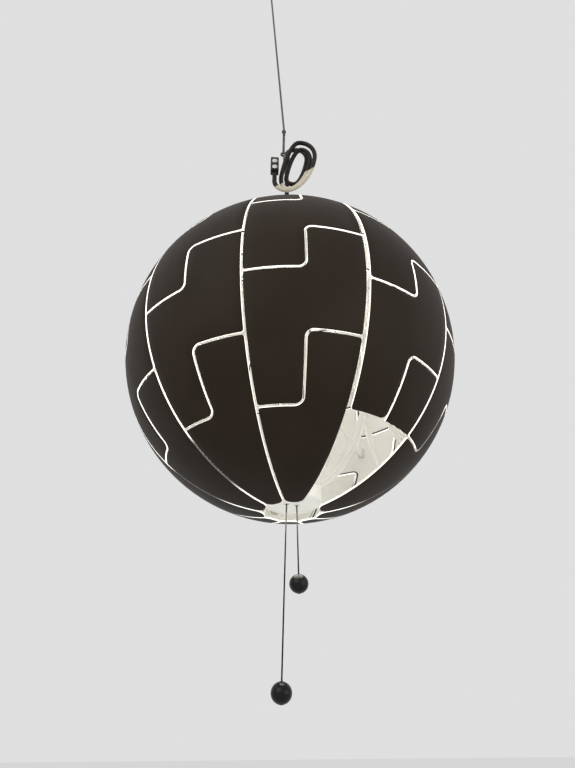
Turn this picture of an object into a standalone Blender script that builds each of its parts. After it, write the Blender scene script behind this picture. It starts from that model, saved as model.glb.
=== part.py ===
"""A globe pendant lamp whose stepped panels spread when a string is pulled.

Ten columns of four panels close into a globe. In each column two crossed arms carry them:
one hangs from the top hub and carries the lower petal and the upper panel, and one stands on
the bottom hub and carries the upper petal and the lower panel. A drum in the bottom hub winds
two lift lines, which draws the hubs together and swings every arm outwards.
Metres, +Z up. The origin is the middle of the ceiling plate's top face.
"""

import math

import bmesh
import bpy
from mathutils import Matrix, Vector

# Globe and panels. Angles are in degrees, and a column's angle runs from -Y towards +X.
GLOBE_RADIUS = 0.175
PANEL_WALL = 0.0016
COLUMN_COUNT = 10
FRONT_COLUMN_ANGLE = 4.9
SEAM_WIDTH = 0.0022
WIDE_SEAM_WIDTH = 0.0042
WIDE_SEAM_COLUMN = 0
MIDDLE_STEP_LATITUDE = 8.0
OUTER_STEP_LOW_LATITUDE = 26.0
OUTER_STEP_HIGH_LATITUDE = 46.0
TIP_LATITUDE = 81.0
STEP_CORNER_RADIUS = 0.006
JOINT_CORNER_RADIUS = 0.0022
TIP_CORNER_RADIUS = 0.006
BROKEN_COLUMN = 1
GRID_COLUMN_SHARES = (-0.5, 0.0, 0.5)
GRID_LATITUDE_STEP = 11.0
LEVEL_SIDE_SHARE = 0.2

# Clearances
SEAT_GAP = 0.0003
RUNNING_GAP = 0.0003
OVERRUN = 0.001

# Hubs and arms
PIVOT_RADIUS = 0.024
PIVOT_DEPTH = 0.027
PIVOT_HEIGHT = GLOBE_RADIUS - PIVOT_DEPTH
PIVOT_WIRE_RADIUS = 0.001
HUB_OUTER_RADIUS = 0.029
HUB_BORE_RADIUS = 0.0153
HUB_HALF_THICKNESS = 0.0044
SLOT_INNER_RADIUS = 0.0195
ARM_OFFSET = 0.005
ARM_THICKNESS = 0.004
ARM_DEPTH = 0.007
ARM_FOOT_DEPTH = 0.012
EYE_END_SHARE = 0.8
EYE_RADIUS = 0.0035
BOSS_EXTRA = 0.0004
CROSSING_SHARE = 0.5314
CROSSING_RADIUS = CROSSING_SHARE * GLOBE_RADIUS
CROSSING_PIN_RADIUS = 0.0015
CROSSING_PLAY = 0.0022
CROSSING_BOSS_WALL = 0.0032
FOOT_LATITUDE = 4 * GRID_LATITUDE_STEP
FOOT_SINK_SHARE = 0.25
STRUT_LATITUDE = 1.5 * GRID_LATITUDE_STEP
STRUT_THICKNESS = 0.0034
STRUT_ROOT_DEPTH = 0.013
STRUT_END_DEPTH = 0.008
LUG_THICKNESS = 0.0015
LUG_LENGTH = 0.012
LUG_DEPTH = 0.006
LUG_SINK_SHARE = 0.65

# The rib's centre line below its eye: radius and height as shares of the globe's radius
RIB_SHARES = (
    (0.225, 0.775),
    (0.340, 0.640),
    (0.440, 0.440),
    (0.505, 0.220),
    (CROSSING_SHARE, 0.000),
    (0.532, -0.140),
    (0.534, -0.270),
    (0.543, -0.385),
    (0.565, -0.475),
    (0.600, -0.580),
    (0.650, -0.650),
)
STRUT_ROOT_SHARES = (0.515, 0.150)
STRUT_MIDDLE_SHARE = 0.72

# Top housing, lampholder and bulb
HOUSING_RADIUS = 0.019
HOUSING_WALL = 0.0016
HOUSING_HEIGHT = 0.010
HOUSING_DOME_HEIGHT = 0.007
RELIEF_BASE_RADIUS = 0.0075
RELIEF_TIP_RADIUS = 0.0047
RELIEF_LENGTH = 0.025
HOLDER_RADIUS = 0.015
HOLDER_WALL = 0.0014
HOLDER_LENGTH = 0.040
HOLDER_FLANGE_RADIUS = 0.017
HOLDER_FLANGE_HEIGHT = 0.002
HOLDER_WIRE_HOLE_RADIUS = 0.004
BULB_CAP_RADIUS = 0.0131
BULB_CAP_LENGTH = 0.027
BULB_TIP_RADIUS = 0.005
BULB_TIP_LENGTH = 0.0025
BULB_NECK_LENGTH = 0.014
BULB_RADIUS = 0.030
BULB_SHOULDER_LENGTH = 0.030

# Bottom cup, drum and lift lines
LIFT_ANGLE = FRONT_COLUMN_ANGLE + 0.5 * 360.0 / COLUMN_COUNT
LIFT_RADIUS = 0.042
LIFT_LINE_RADIUS = 0.0005
LIFT_EAR_WIDTH = 0.007
LIFT_EAR_THICKNESS = 0.0031
LIFT_EAR_END = 0.004
LIFT_SPOOL_RADIUS = 0.0026
LIFT_FLANGE_RADIUS = 0.0045
LIFT_SPOOL_WIDTH = 0.005
FLANGE_THICKNESS = 0.001
AXLE_RADIUS = 0.0015
AXLE_DROP = 0.0085
DRUM_CORE_RADIUS = 0.0042
DRUM_FLANGE_RADIUS = 0.0063
DRUM_WIDTH = 0.010
STRING_OFFSET = 0.00525
STRING_RADIUS = 0.00075
CUP_RADIUS = 0.029
CUP_WALL = 0.0016
CUP_DEPTH = 0.0125
CUP_HOLE_RADIUS = 0.0018

# Strings and balls, with the balls' heights below the globe's centre
BALL_RADIUS = 0.0086
BALL_HALF_HEIGHT = 0.0083
OPENING_BALL_DROP = 0.2370
CLOSING_BALL_DROP = 0.3225
OPENING_STRING_LEANS = (0.5, 1.0)
CLOSING_STRING_LEANS = (-1.9, -2.0)
STRING_TRAVEL = 0.076

# Suspension above the globe
CEILING_HEIGHT = 0.900
CEILING_SHIFT = 0.0285
PLATE_RADIUS = 0.022
PLATE_THICKNESS = 0.004
PLATE_BOSS_RADIUS = 0.005
PLATE_BOSS_HEIGHT = 0.010
LEAD_RADIUS = 0.0015
FLEX_RADIUS = 0.003
COIL_BACK = -0.003
COIL_SPAN = 0.100
COIL_POINTS = 130
COIL_LEAN = 0.14
QUARTER_STEPS = 8
# The outermost places of the coil's turns, a quarter turn apart: top, right, bottom, left and
# so on, as shares of COIL_SPAN right of, behind and above its start
COIL_QUARTER_SHARES = (
    (0.095, 0.000, 0.160),
    (0.277, -0.065, -0.204),
    (0.092, -0.091, -0.711),
    (-0.008, -0.097, -0.588),
    (0.199, -0.114, 0.005),
    (0.324, -0.127, -0.291),
    (0.018, -0.145, -0.877),
    (-0.072, -0.154, -0.611),
    (0.173, -0.171, 0.083),
    (0.388, -0.183, -0.290),
    (-0.016, -0.203, -0.964),
    (-0.163, -0.237, -0.784),
)
COIL_END_SHARES = (-0.162, -0.248, -0.667)
RISER_TOP = (-0.001, 0.3535)
RISER_BENDS = ((-0.0010, 0.0000, 0.2500), (-0.0012, -0.0017, 0.3060))
GRIP_RADIUS = 0.005
GRIP_LENGTH = 0.010
EYE_RING_RADIUS = 0.0032
EYE_RING_WIRE_RADIUS = 0.0012
EYE_RING_PLACE = (-0.0053, 0.003, 0.3690)
STEM_RADIUS = 0.0018
STEM_TOP = (-0.0045, 0.003, 0.4230)
KNOB_RADIUS = 0.0033
CONNECTOR_SIZE = (0.011, 0.011, 0.024)
CONNECTOR_BEVEL = 0.0015
CONNECTOR_BEVEL_STEPS = 2

FLAT_ANGLE = 0.2
ROUND_SEGMENTS = 22
SLEEVE_SEGMENTS = 14
KNOB_SEGMENTS = 10
KNOB_RINGS = 6
BALL_SEGMENTS = 16
BALL_RINGS = 8
STRING_POINTS = 6
HUB_SEGMENTS = 30
DRUM_SEGMENTS = 10
SMALL_SEGMENTS = 8
RIB_POINTS = 10
RISER_POINTS = 14
LEAD_POINTS = 9
BULB_SEGMENTS = 20

GLOBE_CENTRE = Vector((CEILING_SHIFT, 0.0, -CEILING_HEIGHT))


def clear_scene():
    for old in list(bpy.data.objects):
        bpy.data.objects.remove(old, do_unlink=True)


def new_collection(name):
    made = bpy.data.collections.new(name)
    bpy.context.scene.collection.children.link(made)
    return made


def material(name, colour, roughness, metallic=0.0, emission=0.0):
    made = bpy.data.materials.new(name)
    made.use_nodes = True
    shader = made.node_tree.nodes["Principled BSDF"]
    shader.inputs["Base Color"].default_value = (*colour, 1.0)
    shader.inputs["Roughness"].default_value = roughness
    shader.inputs["Metallic"].default_value = metallic
    shader.inputs["Emission Color"].default_value = (*colour, 1.0)
    shader.inputs["Emission Strength"].default_value = emission
    made.diffuse_color = (*colour, 1.0)
    return made


def add_object(name, data, collection, parent=None):
    made = bpy.data.objects.new(name, data)
    collection.objects.link(made)
    made.parent = parent
    return made


def add_helper(name, data):
    made = add_object(name, data, helpers)
    made.hide_render = True
    made.display_type = "WIRE"
    return made


def mesh_from(name, bm):
    mesh = bpy.data.meshes.new(name)
    bmesh.ops.recalc_face_normals(bm, faces=bm.faces)
    bm.to_mesh(mesh)
    bm.free()
    return mesh


def evaluated_mesh(obj, name):
    """The object's mesh with its modifiers applied, welded; the object is removed."""
    bpy.context.view_layer.update()
    graph = bpy.context.evaluated_depsgraph_get()
    mesh = bpy.data.meshes.new_from_object(obj.evaluated_get(graph))
    mesh.name = name
    bm = bmesh.new()
    bm.from_mesh(mesh)
    bmesh.ops.remove_doubles(bm, verts=bm.verts, dist=1e-6)
    bm.to_mesh(mesh)
    bm.free()
    bpy.data.objects.remove(obj, do_unlink=True)
    return mesh


def combine(name, base_mesh, steps):
    """base_mesh with each (operation, mesh) of steps applied to it by a Boolean."""
    base = add_helper(name, base_mesh)
    others = []
    for operation, mesh in steps:
        other = add_helper(f"{name}_{operation.lower()}_{len(others)}", mesh)
        boolean = base.modifiers.new(operation.title(), "BOOLEAN")
        boolean.operation = operation
        boolean.solver = "EXACT"
        boolean.object = other
        others.append(other)
    made = evaluated_mesh(base, name)
    bm = bmesh.new()
    bm.from_mesh(made)
    bmesh.ops.dissolve_limit(bm, angle_limit=math.radians(FLAT_ANGLE), verts=bm.verts, edges=bm.edges)
    bm.to_mesh(made)
    bm.free()
    for other in others:
        bpy.data.objects.remove(other, do_unlink=True)
    return made


def shade(mesh, angle=35.0):
    mesh.shade_smooth()
    mesh.set_sharp_from_angle(angle=math.radians(angle))


def box_mesh(name, low, high):
    bm = bmesh.new()
    bmesh.ops.create_cube(bm, size=1.0)
    low, high = Vector(low), Vector(high)
    size = high - low
    bmesh.ops.transform(
        bm, matrix=Matrix.Translation((low + high) / 2) @ Matrix.Diagonal((*size, 1.0)), verts=bm.verts
    )
    return mesh_from(name, bm)


def rod_mesh(name, start, end, radius, segments=SMALL_SEGMENTS):
    """A cylinder from start to end."""
    start, end = Vector(start), Vector(end)
    along = end - start
    bm = bmesh.new()
    bmesh.ops.create_cone(
        bm, cap_ends=True, segments=segments, radius1=radius, radius2=radius, depth=along.length
    )
    turn = along.to_track_quat("Z", "Y").to_matrix().to_4x4()
    bmesh.ops.transform(bm, matrix=Matrix.Translation((start + end) / 2) @ turn, verts=bm.verts)
    return mesh_from(name, bm)


def turned_mesh(name, profile, segments=ROUND_SEGMENTS):
    """A solid of revolution about Z; profile is (radius, height) points, a closed outline
    or a line whose two ends lie on the axis."""
    bm = bmesh.new()
    points = [bm.verts.new((radius, 0.0, height)) for radius, height in profile]
    for first, second in zip(points, points[1:]):
        bm.edges.new((first, second))
    if profile[0][0] > 0.0 or profile[-1][0] > 0.0:
        bm.edges.new((points[-1], points[0]))
    flat = bpy.data.meshes.new(name)
    bm.to_mesh(flat)
    bm.free()
    turned = add_helper(name, flat)
    screw = turned.modifiers.new("Turn", "SCREW")
    screw.steps = segments
    screw.render_steps = segments
    screw.use_merge_vertices = True
    screw.merge_threshold = 1e-5
    screw.use_smooth_shade = False
    mesh = evaluated_mesh(turned, name)
    bm = bmesh.new()
    bm.from_mesh(mesh)
    bmesh.ops.recalc_face_normals(bm, faces=bm.faces)
    bm.to_mesh(mesh)
    bm.free()
    return mesh


def tube_mesh(name, points, radius, resolution=2, cyclic=False):
    curve = bpy.data.curves.new(name, "CURVE")
    curve.dimensions = "3D"
    curve.bevel_depth = radius
    curve.bevel_resolution = resolution
    curve.use_fill_caps = True
    spline = curve.splines.new("POLY")
    spline.points.add(len(points) - 1)
    for target, point in zip(spline.points, points):
        target.co = (*point, 1.0)
    spline.use_cyclic_u = cyclic
    mesh = evaluated_mesh(add_helper(name, curve), name)
    bm = bmesh.new()
    bm.from_mesh(mesh)
    bmesh.ops.recalc_face_normals(bm, faces=bm.faces)
    bm.to_mesh(mesh)
    bm.free()
    return mesh


def smooth_line(controls, count):
    """count points evenly spread along a smooth curve through the control points."""
    controls = [Vector(c) for c in controls]
    ends = [2 * controls[0] - controls[1], *controls, 2 * controls[-1] - controls[-2]]
    fine = []
    steps = 24
    for before, start, end, after in zip(ends, ends[1:], ends[2:], ends[3:]):
        for step in range(steps):
            t = step / steps
            fine.append(
                0.5
                * (
                    2 * start
                    + (end - before) * t
                    + (2 * before - 5 * start + 4 * end - after) * t * t
                    + (3 * start - before - 3 * end + after) * t**3
                )
            )
    fine.append(controls[-1])
    lengths = [0.0]
    for first, second in zip(fine, fine[1:]):
        lengths.append(lengths[-1] + (second - first).length)
    made, index = [], 0
    for number in range(count):
        target = lengths[-1] * number / (count - 1)
        while index < len(fine) - 2 and lengths[index + 1] < target:
            index += 1
        span = lengths[index + 1] - lengths[index]
        share = (target - lengths[index]) / span if span else 0.0
        made.append(fine[index].lerp(fine[index + 1], share))
    return made


def plate_mesh(name, line, depths, thickness, offset):
    """A flat bar in the arm's plane along a line of (radius, height) points, as deep as depths
    says at each, and thickness thick across the plane at the given offset."""
    line = [Vector(point) for point in line]
    left, right = [], []
    for index, (point, depth) in enumerate(zip(line, depths)):
        before, after = line[max(index - 1, 0)], line[min(index + 1, len(line) - 1)]
        along = (after - before).normalized()
        across = Vector((-along.y, along.x)) * (depth / 2)
        left.append(point + across)
        right.append(point - across)
    curve = bpy.data.curves.new(name, "CURVE")
    curve.dimensions = "2D"
    curve.fill_mode = "BOTH"
    curve.extrude = thickness / 2
    outline = left + right[::-1]
    spline = curve.splines.new("POLY")
    spline.points.add(len(outline) - 1)
    for target, point in zip(spline.points, outline):
        target.co = (point.x, point.y, 0.0, 1.0)
    spline.use_cyclic_u = True
    mesh = evaluated_mesh(add_helper(name, curve), name)
    stand_up = Matrix.Translation((0.0, offset, 0.0)) @ Matrix.Rotation(math.pi / 2, 4, "X")
    bm = bmesh.new()
    bm.from_mesh(mesh)
    bmesh.ops.transform(bm, matrix=stand_up, verts=bm.verts)
    bmesh.ops.recalc_face_normals(bm, faces=bm.faces)
    bm.to_mesh(mesh)
    bm.free()
    return mesh


def polar(radius, latitude):
    """(radius from the axis, height) of a point in a column's middle plane."""
    angle = math.radians(latitude)
    return radius * math.cos(angle), radius * math.sin(angle)


def column_angle(column):
    return math.radians(FRONT_COLUMN_ANGLE + column * 360.0 / COLUMN_COUNT)


HALF_COLUMN = math.pi / COLUMN_COUNT
# A facet's middle lies this share of the globe's radius from its centre
FLAT_FACE_SHARE = math.cos(math.radians(GRID_LATITUDE_STEP) / 2) * math.cos(HALF_COLUMN / 4)


class PanelShape:
    """Maps a panel's flat outline to the globe. A point is (share across the column, latitude),
    and the sides keep half a seam from the column's borders at every latitude."""

    def __init__(self, left_gap, right_gap):
        self.gaps = (left_gap, right_gap)

    def half_width(self, share, latitude):
        ring = GLOBE_RADIUS * math.cos(math.radians(latitude))
        return ring * HALF_COLUMN - self.gaps[share > 0.0]

    def place(self, share, latitude):
        angle = share * self.half_width(share, latitude) / (
            GLOBE_RADIUS * math.cos(math.radians(latitude))
        )
        radius, height = polar(GLOBE_RADIUS, latitude)
        return Vector((radius * math.cos(angle), radius * math.sin(angle), height))

    def rounded(self, corners):
        """The outline with each corner, (share, latitude, radius), made an arc."""
        outline = []
        count = len(corners)
        for index, (share, latitude, radius) in enumerate(corners):
            width = self.half_width(share if share else 1.0, latitude)
            here = Vector((share * width, math.radians(latitude) * GLOBE_RADIUS))
            towards = []
            for other_share, other_latitude, _ in (corners[index - 1], corners[(index + 1) % count]):
                step = Vector((other_share - share, other_latitude - latitude))
                step = Vector((step.x, 0.0)) if abs(step.x) > LEVEL_SIDE_SHARE else Vector((0.0, step.y))
                towards.append(step.normalized())
            steps = 2 if radius > (STEP_CORNER_RADIUS + JOINT_CORNER_RADIUS) / 2 else 1
            centre = here + radius * (towards[0] + towards[1])
            for step in range(steps + 1):
                angle = math.pi / 2 * step / steps
                point = centre - radius * (math.cos(angle) * towards[1] + math.sin(angle) * towards[0])
                outline.append((point.x / width, math.degrees(point.y / GLOBE_RADIUS)))
        return outline

    def mesh(self, name, corners):
        """The panel's outer surface."""
        bm = bmesh.new()
        flat = [bm.verts.new((share, latitude, 0.0)) for share, latitude in self.rounded(corners)]
        bm.faces.new(flat)
        cuts = [((share, 0.0, 0.0), (1.0, 0.0, 0.0)) for share in GRID_COLUMN_SHARES]
        lines = int(TIP_LATITUDE / GRID_LATITUDE_STEP)
        cuts += [
            ((0.0, line * GRID_LATITUDE_STEP, 0.0), (0.0, 1.0, 0.0)) for line in range(-lines, lines + 1)
        ]
        for point, normal in cuts:
            bmesh.ops.bisect_plane(
                bm, geom=bm.verts[:] + bm.edges[:] + bm.faces[:], plane_co=point, plane_no=normal
            )
        bmesh.ops.remove_doubles(bm, verts=bm.verts, dist=1e-4)
        bmesh.ops.triangulate(bm, faces=[face for face in bm.faces if len(face.verts) > 4])
        for vertex in bm.verts:
            vertex.co = self.place(vertex.co.x, vertex.co.y)
        bmesh.ops.recalc_face_normals(bm, faces=bm.faces)
        middle = sum((face.normal.dot(face.calc_center_median()) for face in bm.faces), 0.0)
        if middle < 0.0:
            bmesh.ops.reverse_faces(bm, faces=bm.faces)
        mesh = bpy.data.meshes.new(name)
        bm.to_mesh(mesh)
        bm.free()
        return mesh


def seam_latitude(width):
    return math.degrees(width / 2 / GLOBE_RADIUS)


def step_share(latitude):
    """Half a seam beside the column's middle line, as a share of its half width."""
    ring = GLOBE_RADIUS * math.cos(math.radians(latitude))
    return SEAM_WIDTH / 2 / (ring * HALF_COLUMN)


def panel_corners():
    """Upper panel: its left half reaches down to the middle step, its right half up to the outer."""
    gap = seam_latitude(SEAM_WIDTH)
    low, high = -MIDDLE_STEP_LATITUDE + gap, MIDDLE_STEP_LATITUDE + gap
    top_low, top_high = OUTER_STEP_LOW_LATITUDE - gap, OUTER_STEP_HIGH_LATITUDE - gap
    inner = step_share(0.0)
    outer = step_share((top_low + top_high) / 2)
    small, step, hollow = JOINT_CORNER_RADIUS, STEP_CORNER_RADIUS, STEP_CORNER_RADIUS + SEAM_WIDTH
    return [
        (-1.0, low, small),
        (-inner, low, step),
        (-inner, high, hollow),
        (1.0, high, small),
        (1.0, top_high, small),
        (outer, top_high, step),
        (outer, top_low, hollow),
        (-1.0, top_low, small),
    ]


def petal_corners():
    """Lower petal: the tip, and a tongue that rises beside the lower panel in its right half."""
    gap = seam_latitude(SEAM_WIDTH)
    low, high = -OUTER_STEP_HIGH_LATITUDE - gap, -OUTER_STEP_LOW_LATITUDE - gap
    inner = step_share((low + high) / 2)
    small, step, hollow = JOINT_CORNER_RADIUS, STEP_CORNER_RADIUS, STEP_CORNER_RADIUS + SEAM_WIDTH
    return [
        (-1.0, -TIP_LATITUDE, TIP_CORNER_RADIUS),
        (1.0, -TIP_LATITUDE, TIP_CORNER_RADIUS),
        (1.0, high, small),
        (inner, high, step),
        (inner, low, hollow),
        (-1.0, low, small),
    ]


def tongue_corners():
    """What the broken petal leaves on its arm: the tongue alone."""
    corners = petal_corners()
    broken = -OUTER_STEP_HIGH_LATITUDE
    small = JOINT_CORNER_RADIUS
    return [(corners[3][0], broken, small), (1.0, broken, small), corners[2], corners[3]]


def shell_mesh(name, shape, corners):
    surface = add_helper(name, shape.mesh(name, corners))
    wall = surface.modifiers.new("Wall", "SOLIDIFY")
    wall.thickness = PANEL_WALL
    wall.offset = -1.0
    return evaluated_mesh(surface, name)


def arm_steps(name, has_pin):
    """The (operation, mesh) steps that add a lower petal's arm to its petal: rib, strut to the
    upper panel, eye on the top hub's wire, and the crossing boss at the equator."""
    eye = (PIVOT_RADIUS, PIVOT_HEIGHT)
    rib = [eye, *((r * GLOBE_RADIUS, z * GLOBE_RADIUS) for r, z in RIB_SHARES)]
    foot_end = GLOBE_RADIUS - PANEL_WALL * (1.0 - FOOT_SINK_SHARE)
    rib.append(polar(foot_end, -FOOT_LATITUDE))
    line = smooth_line(rib, RIB_POINTS)
    line[-2] = Vector(polar(foot_end - ARM_DEPTH, -FOOT_LATITUDE))
    depths = [ARM_DEPTH] * len(line)
    depths[0] = ARM_DEPTH * EYE_END_SHARE
    depths[-2] = (ARM_DEPTH + ARM_FOOT_DEPTH) / 2
    depths[-1] = ARM_FOOT_DEPTH
    steps = [("UNION", plate_mesh(f"{name}_rib", line, depths, ARM_THICKNESS, ARM_OFFSET))]

    strut_end = (GLOBE_RADIUS - PANEL_WALL) * FLAT_FACE_SHARE - SEAT_GAP
    strut = [
        [share * GLOBE_RADIUS for share in STRUT_ROOT_SHARES],
        polar(STRUT_MIDDLE_SHARE * GLOBE_RADIUS, STRUT_LATITUDE),
        polar(strut_end, STRUT_LATITUDE),
    ]
    strut_depths = [STRUT_ROOT_DEPTH, (STRUT_ROOT_DEPTH + STRUT_END_DEPTH) / 2, STRUT_END_DEPTH]
    steps.append(("UNION", plate_mesh(f"{name}_strut", strut, strut_depths, STRUT_THICKNESS, ARM_OFFSET)))

    half = ARM_THICKNESS / 2 + BOSS_EXTRA / 2
    low, high = ARM_OFFSET - half, ARM_OFFSET + half
    pivot = (PIVOT_RADIUS, PIVOT_HEIGHT)
    crossing = (CROSSING_RADIUS, 0.0)
    hole = CROSSING_PIN_RADIUS + CROSSING_PLAY + RUNNING_GAP
    boss = hole + CROSSING_BOSS_WALL

    def across(radius, place, start, end, label):
        return rod_mesh(
            f"{name}_{label}", (place[0], start, place[1]), (place[0], end, place[1]), radius
        )

    steps.append(("UNION", across(EYE_RADIUS, pivot, low, high, "eye")))
    if has_pin:
        pin_end = -ARM_OFFSET - half - OVERRUN
        steps.append(("UNION", across(CROSSING_PIN_RADIUS, crossing, pin_end, ARM_OFFSET, "pin")))
    else:
        steps.append(("UNION", across(boss, crossing, low, high, "boss")))
        steps.append(
            ("DIFFERENCE", across(hole, crossing, low - OVERRUN, high + OVERRUN, "crossing_hole"))
        )
    eye_hole = PIVOT_WIRE_RADIUS + RUNNING_GAP
    steps.append(("DIFFERENCE", across(eye_hole, pivot, low - OVERRUN, high + OVERRUN, "eye_hole")))
    return steps


def lug_mesh(name, side):
    """A lug under the upper panel, beside the strut's end."""
    inner = ARM_OFFSET + side * (STRUT_THICKNESS / 2 + SEAT_GAP)
    outer = inner + side * LUG_THICKNESS
    bottom = GLOBE_RADIUS - PANEL_WALL - LUG_DEPTH
    top = (GLOBE_RADIUS - PANEL_WALL) * FLAT_FACE_SHARE + PANEL_WALL * LUG_SINK_SHARE
    bm = bmesh.new()
    bmesh.ops.create_cube(bm, size=1.0)
    size = Matrix.Diagonal((top - bottom, LUG_THICKNESS, LUG_LENGTH, 1.0))
    place = Matrix.Translation(((top + bottom) / 2, (inner + outer) / 2, 0.0))
    tilt = Matrix.Rotation(-math.radians(STRUT_LATITUDE), 4, "Y")
    bmesh.ops.transform(bm, matrix=tilt @ place @ size, verts=bm.verts)
    return mesh_from(name, bm)


def make_column_meshes(name, left_gap, right_gap, has_pin, broken=False):
    """The (petal with its arm, panel) meshes of one family, with the hinge's place as origin."""
    shape = PanelShape(left_gap, right_gap)
    corners = tongue_corners() if broken else petal_corners()
    petal = shell_mesh(f"{name}_petal", shape, corners)
    petal_arm = combine(f"{name}_petal_arm", petal, arm_steps(name, has_pin))
    panel = combine(
        f"{name}_panel",
        shell_mesh(f"{name}_panel_shell", shape, panel_corners()),
        [("UNION", lug_mesh(f"{name}_lug_{side}", side)) for side in (-1, 1)],
    )
    to_hinge = Matrix.Translation((-PIVOT_RADIUS, 0.0, -PIVOT_HEIGHT))
    for mesh in (petal_arm, panel):
        mesh.transform(to_hinge)
        shade(mesh)
    return petal_arm, panel


def seam_gaps(column):
    """Half the seam at a column's left and right border."""
    wide_left = (WIDE_SEAM_COLUMN + 1) % COLUMN_COUNT
    left = WIDE_SEAM_WIDTH if column == wide_left else SEAM_WIDTH
    right = WIDE_SEAM_WIDTH if column == WIDE_SEAM_COLUMN else SEAM_WIDTH
    return left / 2, right / 2


def make_columns():
    """Ten columns, each with a family that hangs from the top hub and the same family turned
    upside down on the bottom hub."""
    made = {}
    for column in range(COLUMN_COUNT):
        left, right = seam_gaps(column)
        number = f"{column + 1:02d}"
        broken = column == BROKEN_COLUMN
        families = (
            ("lower", "upper", False, broken, (left, right)),
            ("upper", "lower", True, False, (right, left)),
        )
        for petal_word, panel_word, upside_down, is_broken, gaps in families:
            key = (upside_down, is_broken, gaps)
            if key not in made:
                made[key] = make_column_meshes(
                    f"{petal_word}_{number}", *gaps, has_pin=not upside_down, broken=is_broken
                )
            turn = Matrix.Rotation(column_angle(column) - math.pi / 2, 4, "Z")
            if upside_down:
                turn = turn @ Matrix.Rotation(math.pi, 4, "X")
            hinge = add_object(f"{petal_word}_arm_hinge_{number}", None, lamp, globe)
            hinge.matrix_local = turn @ Matrix.Translation((PIVOT_RADIUS, 0.0, PIVOT_HEIGHT))
            arm_mesh, panel_mesh = made[key]
            arm = add_object(f"{petal_word}_petal_arm_{number}", arm_mesh, lamp, hinge)
            panel = add_object(f"{panel_word}_panel_{number}", panel_mesh, lamp, hinge)
            for piece in (arm, panel):
                dress(piece, panel_dark)


def dress(obj, chosen):
    """Puts one material on an object whose mesh may be shared."""
    if not obj.data.materials:
        obj.data.materials.append(chosen)
    obj.material_slots[0].link = "OBJECT"
    obj.material_slots[0].material = chosen


def add_piece(name, mesh, chosen, parent, location=(0.0, 0.0, 0.0)):
    shade(mesh)
    piece = add_object(name, mesh, lamp, parent)
    piece.location = location
    dress(piece, chosen)
    return piece


def wire_ring(name, radius):
    """The hinge wire: a straight side across each column."""
    corner = PIVOT_RADIUS / math.cos(HALF_COLUMN)
    angles = [column_angle(column) - math.pi / 2 + HALF_COLUMN for column in range(COLUMN_COUNT)]
    points = [(corner * math.cos(angle), corner * math.sin(angle), 0.0) for angle in angles]
    return tube_mesh(name, points, radius, cyclic=True)


def hub_steps(name, side):
    """Slots for the arms, on the given side of each column's middle, and the hinge wire."""
    half = ARM_THICKNESS / 2 + BOSS_EXTRA / 2 + RUNNING_GAP
    steps = []
    for column in range(COLUMN_COUNT):
        slot = box_mesh(
            f"{name}_slot_{column}",
            (SLOT_INNER_RADIUS, side * ARM_OFFSET - half, -HUB_HALF_THICKNESS - OVERRUN),
            (HUB_OUTER_RADIUS + OVERRUN, side * ARM_OFFSET + half, HUB_HALF_THICKNESS + OVERRUN),
        )
        slot.transform(Matrix.Rotation(column_angle(column) - math.pi / 2, 4, "Z"))
        steps.append(("DIFFERENCE", slot))
    steps.append(("UNION", wire_ring(f"{name}_wire", PIVOT_WIRE_RADIUS)))
    return steps


def hub_ring(name):
    profile = [
        (HUB_OUTER_RADIUS, HUB_HALF_THICKNESS),
        (HUB_OUTER_RADIUS, -HUB_HALF_THICKNESS),
        (HUB_BORE_RADIUS, -HUB_HALF_THICKNESS),
        (HUB_BORE_RADIUS, HUB_HALF_THICKNESS),
    ]
    return turned_mesh(name, profile, HUB_SEGMENTS)


def lift_direction(side=1):
    angle = math.radians(LIFT_ANGLE)
    return side * Vector((math.sin(angle), -math.cos(angle), 0.0))


def lift_across():
    angle = math.radians(LIFT_ANGLE)
    return Vector((math.cos(angle), math.sin(angle), 0.0))


def lift_turn():
    """Turns +X to the drum's axis."""
    return Matrix.Rotation(math.radians(LIFT_ANGLE) - math.pi / 2, 4, "Z")


def make_top_hub():
    ears = []
    low = HUB_HALF_THICKNESS - PIVOT_WIRE_RADIUS / 2
    for side in (-1, 1):
        ends = sorted((side * (SLOT_INNER_RADIUS + OVERRUN), side * (LIFT_RADIUS + LIFT_EAR_END)))
        ear = box_mesh(
            f"top_hub_ear_{side}",
            (ends[0], -LIFT_EAR_WIDTH / 2, low),
            (ends[1], LIFT_EAR_WIDTH / 2, low + LIFT_EAR_THICKNESS),
        )
        ear.transform(lift_turn())
        ears.append(("UNION", ear))
    mesh = combine("top_hub", hub_ring("top_hub_ring"), hub_steps("top_hub", 1) + ears)
    add_piece("top_hub", mesh, white_plastic, globe, (0.0, 0.0, PIVOT_HEIGHT))


def make_bottom_hub():
    mesh = combine("bottom_hub", hub_ring("bottom_hub_ring"), hub_steps("bottom_hub", -1))
    add_piece("bottom_hub", mesh, white_plastic, globe, (0.0, 0.0, -PIVOT_HEIGHT))


HUB_TOP = PIVOT_HEIGHT + HUB_HALF_THICKNESS
HOUSING_BASE = HUB_TOP + SEAT_GAP
HOUSING_SHOULDER = HOUSING_BASE + HOUSING_HEIGHT
RELIEF_BASE = HOUSING_SHOULDER + HOUSING_DOME_HEIGHT
RELIEF_TIP = RELIEF_BASE + RELIEF_LENGTH


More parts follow.
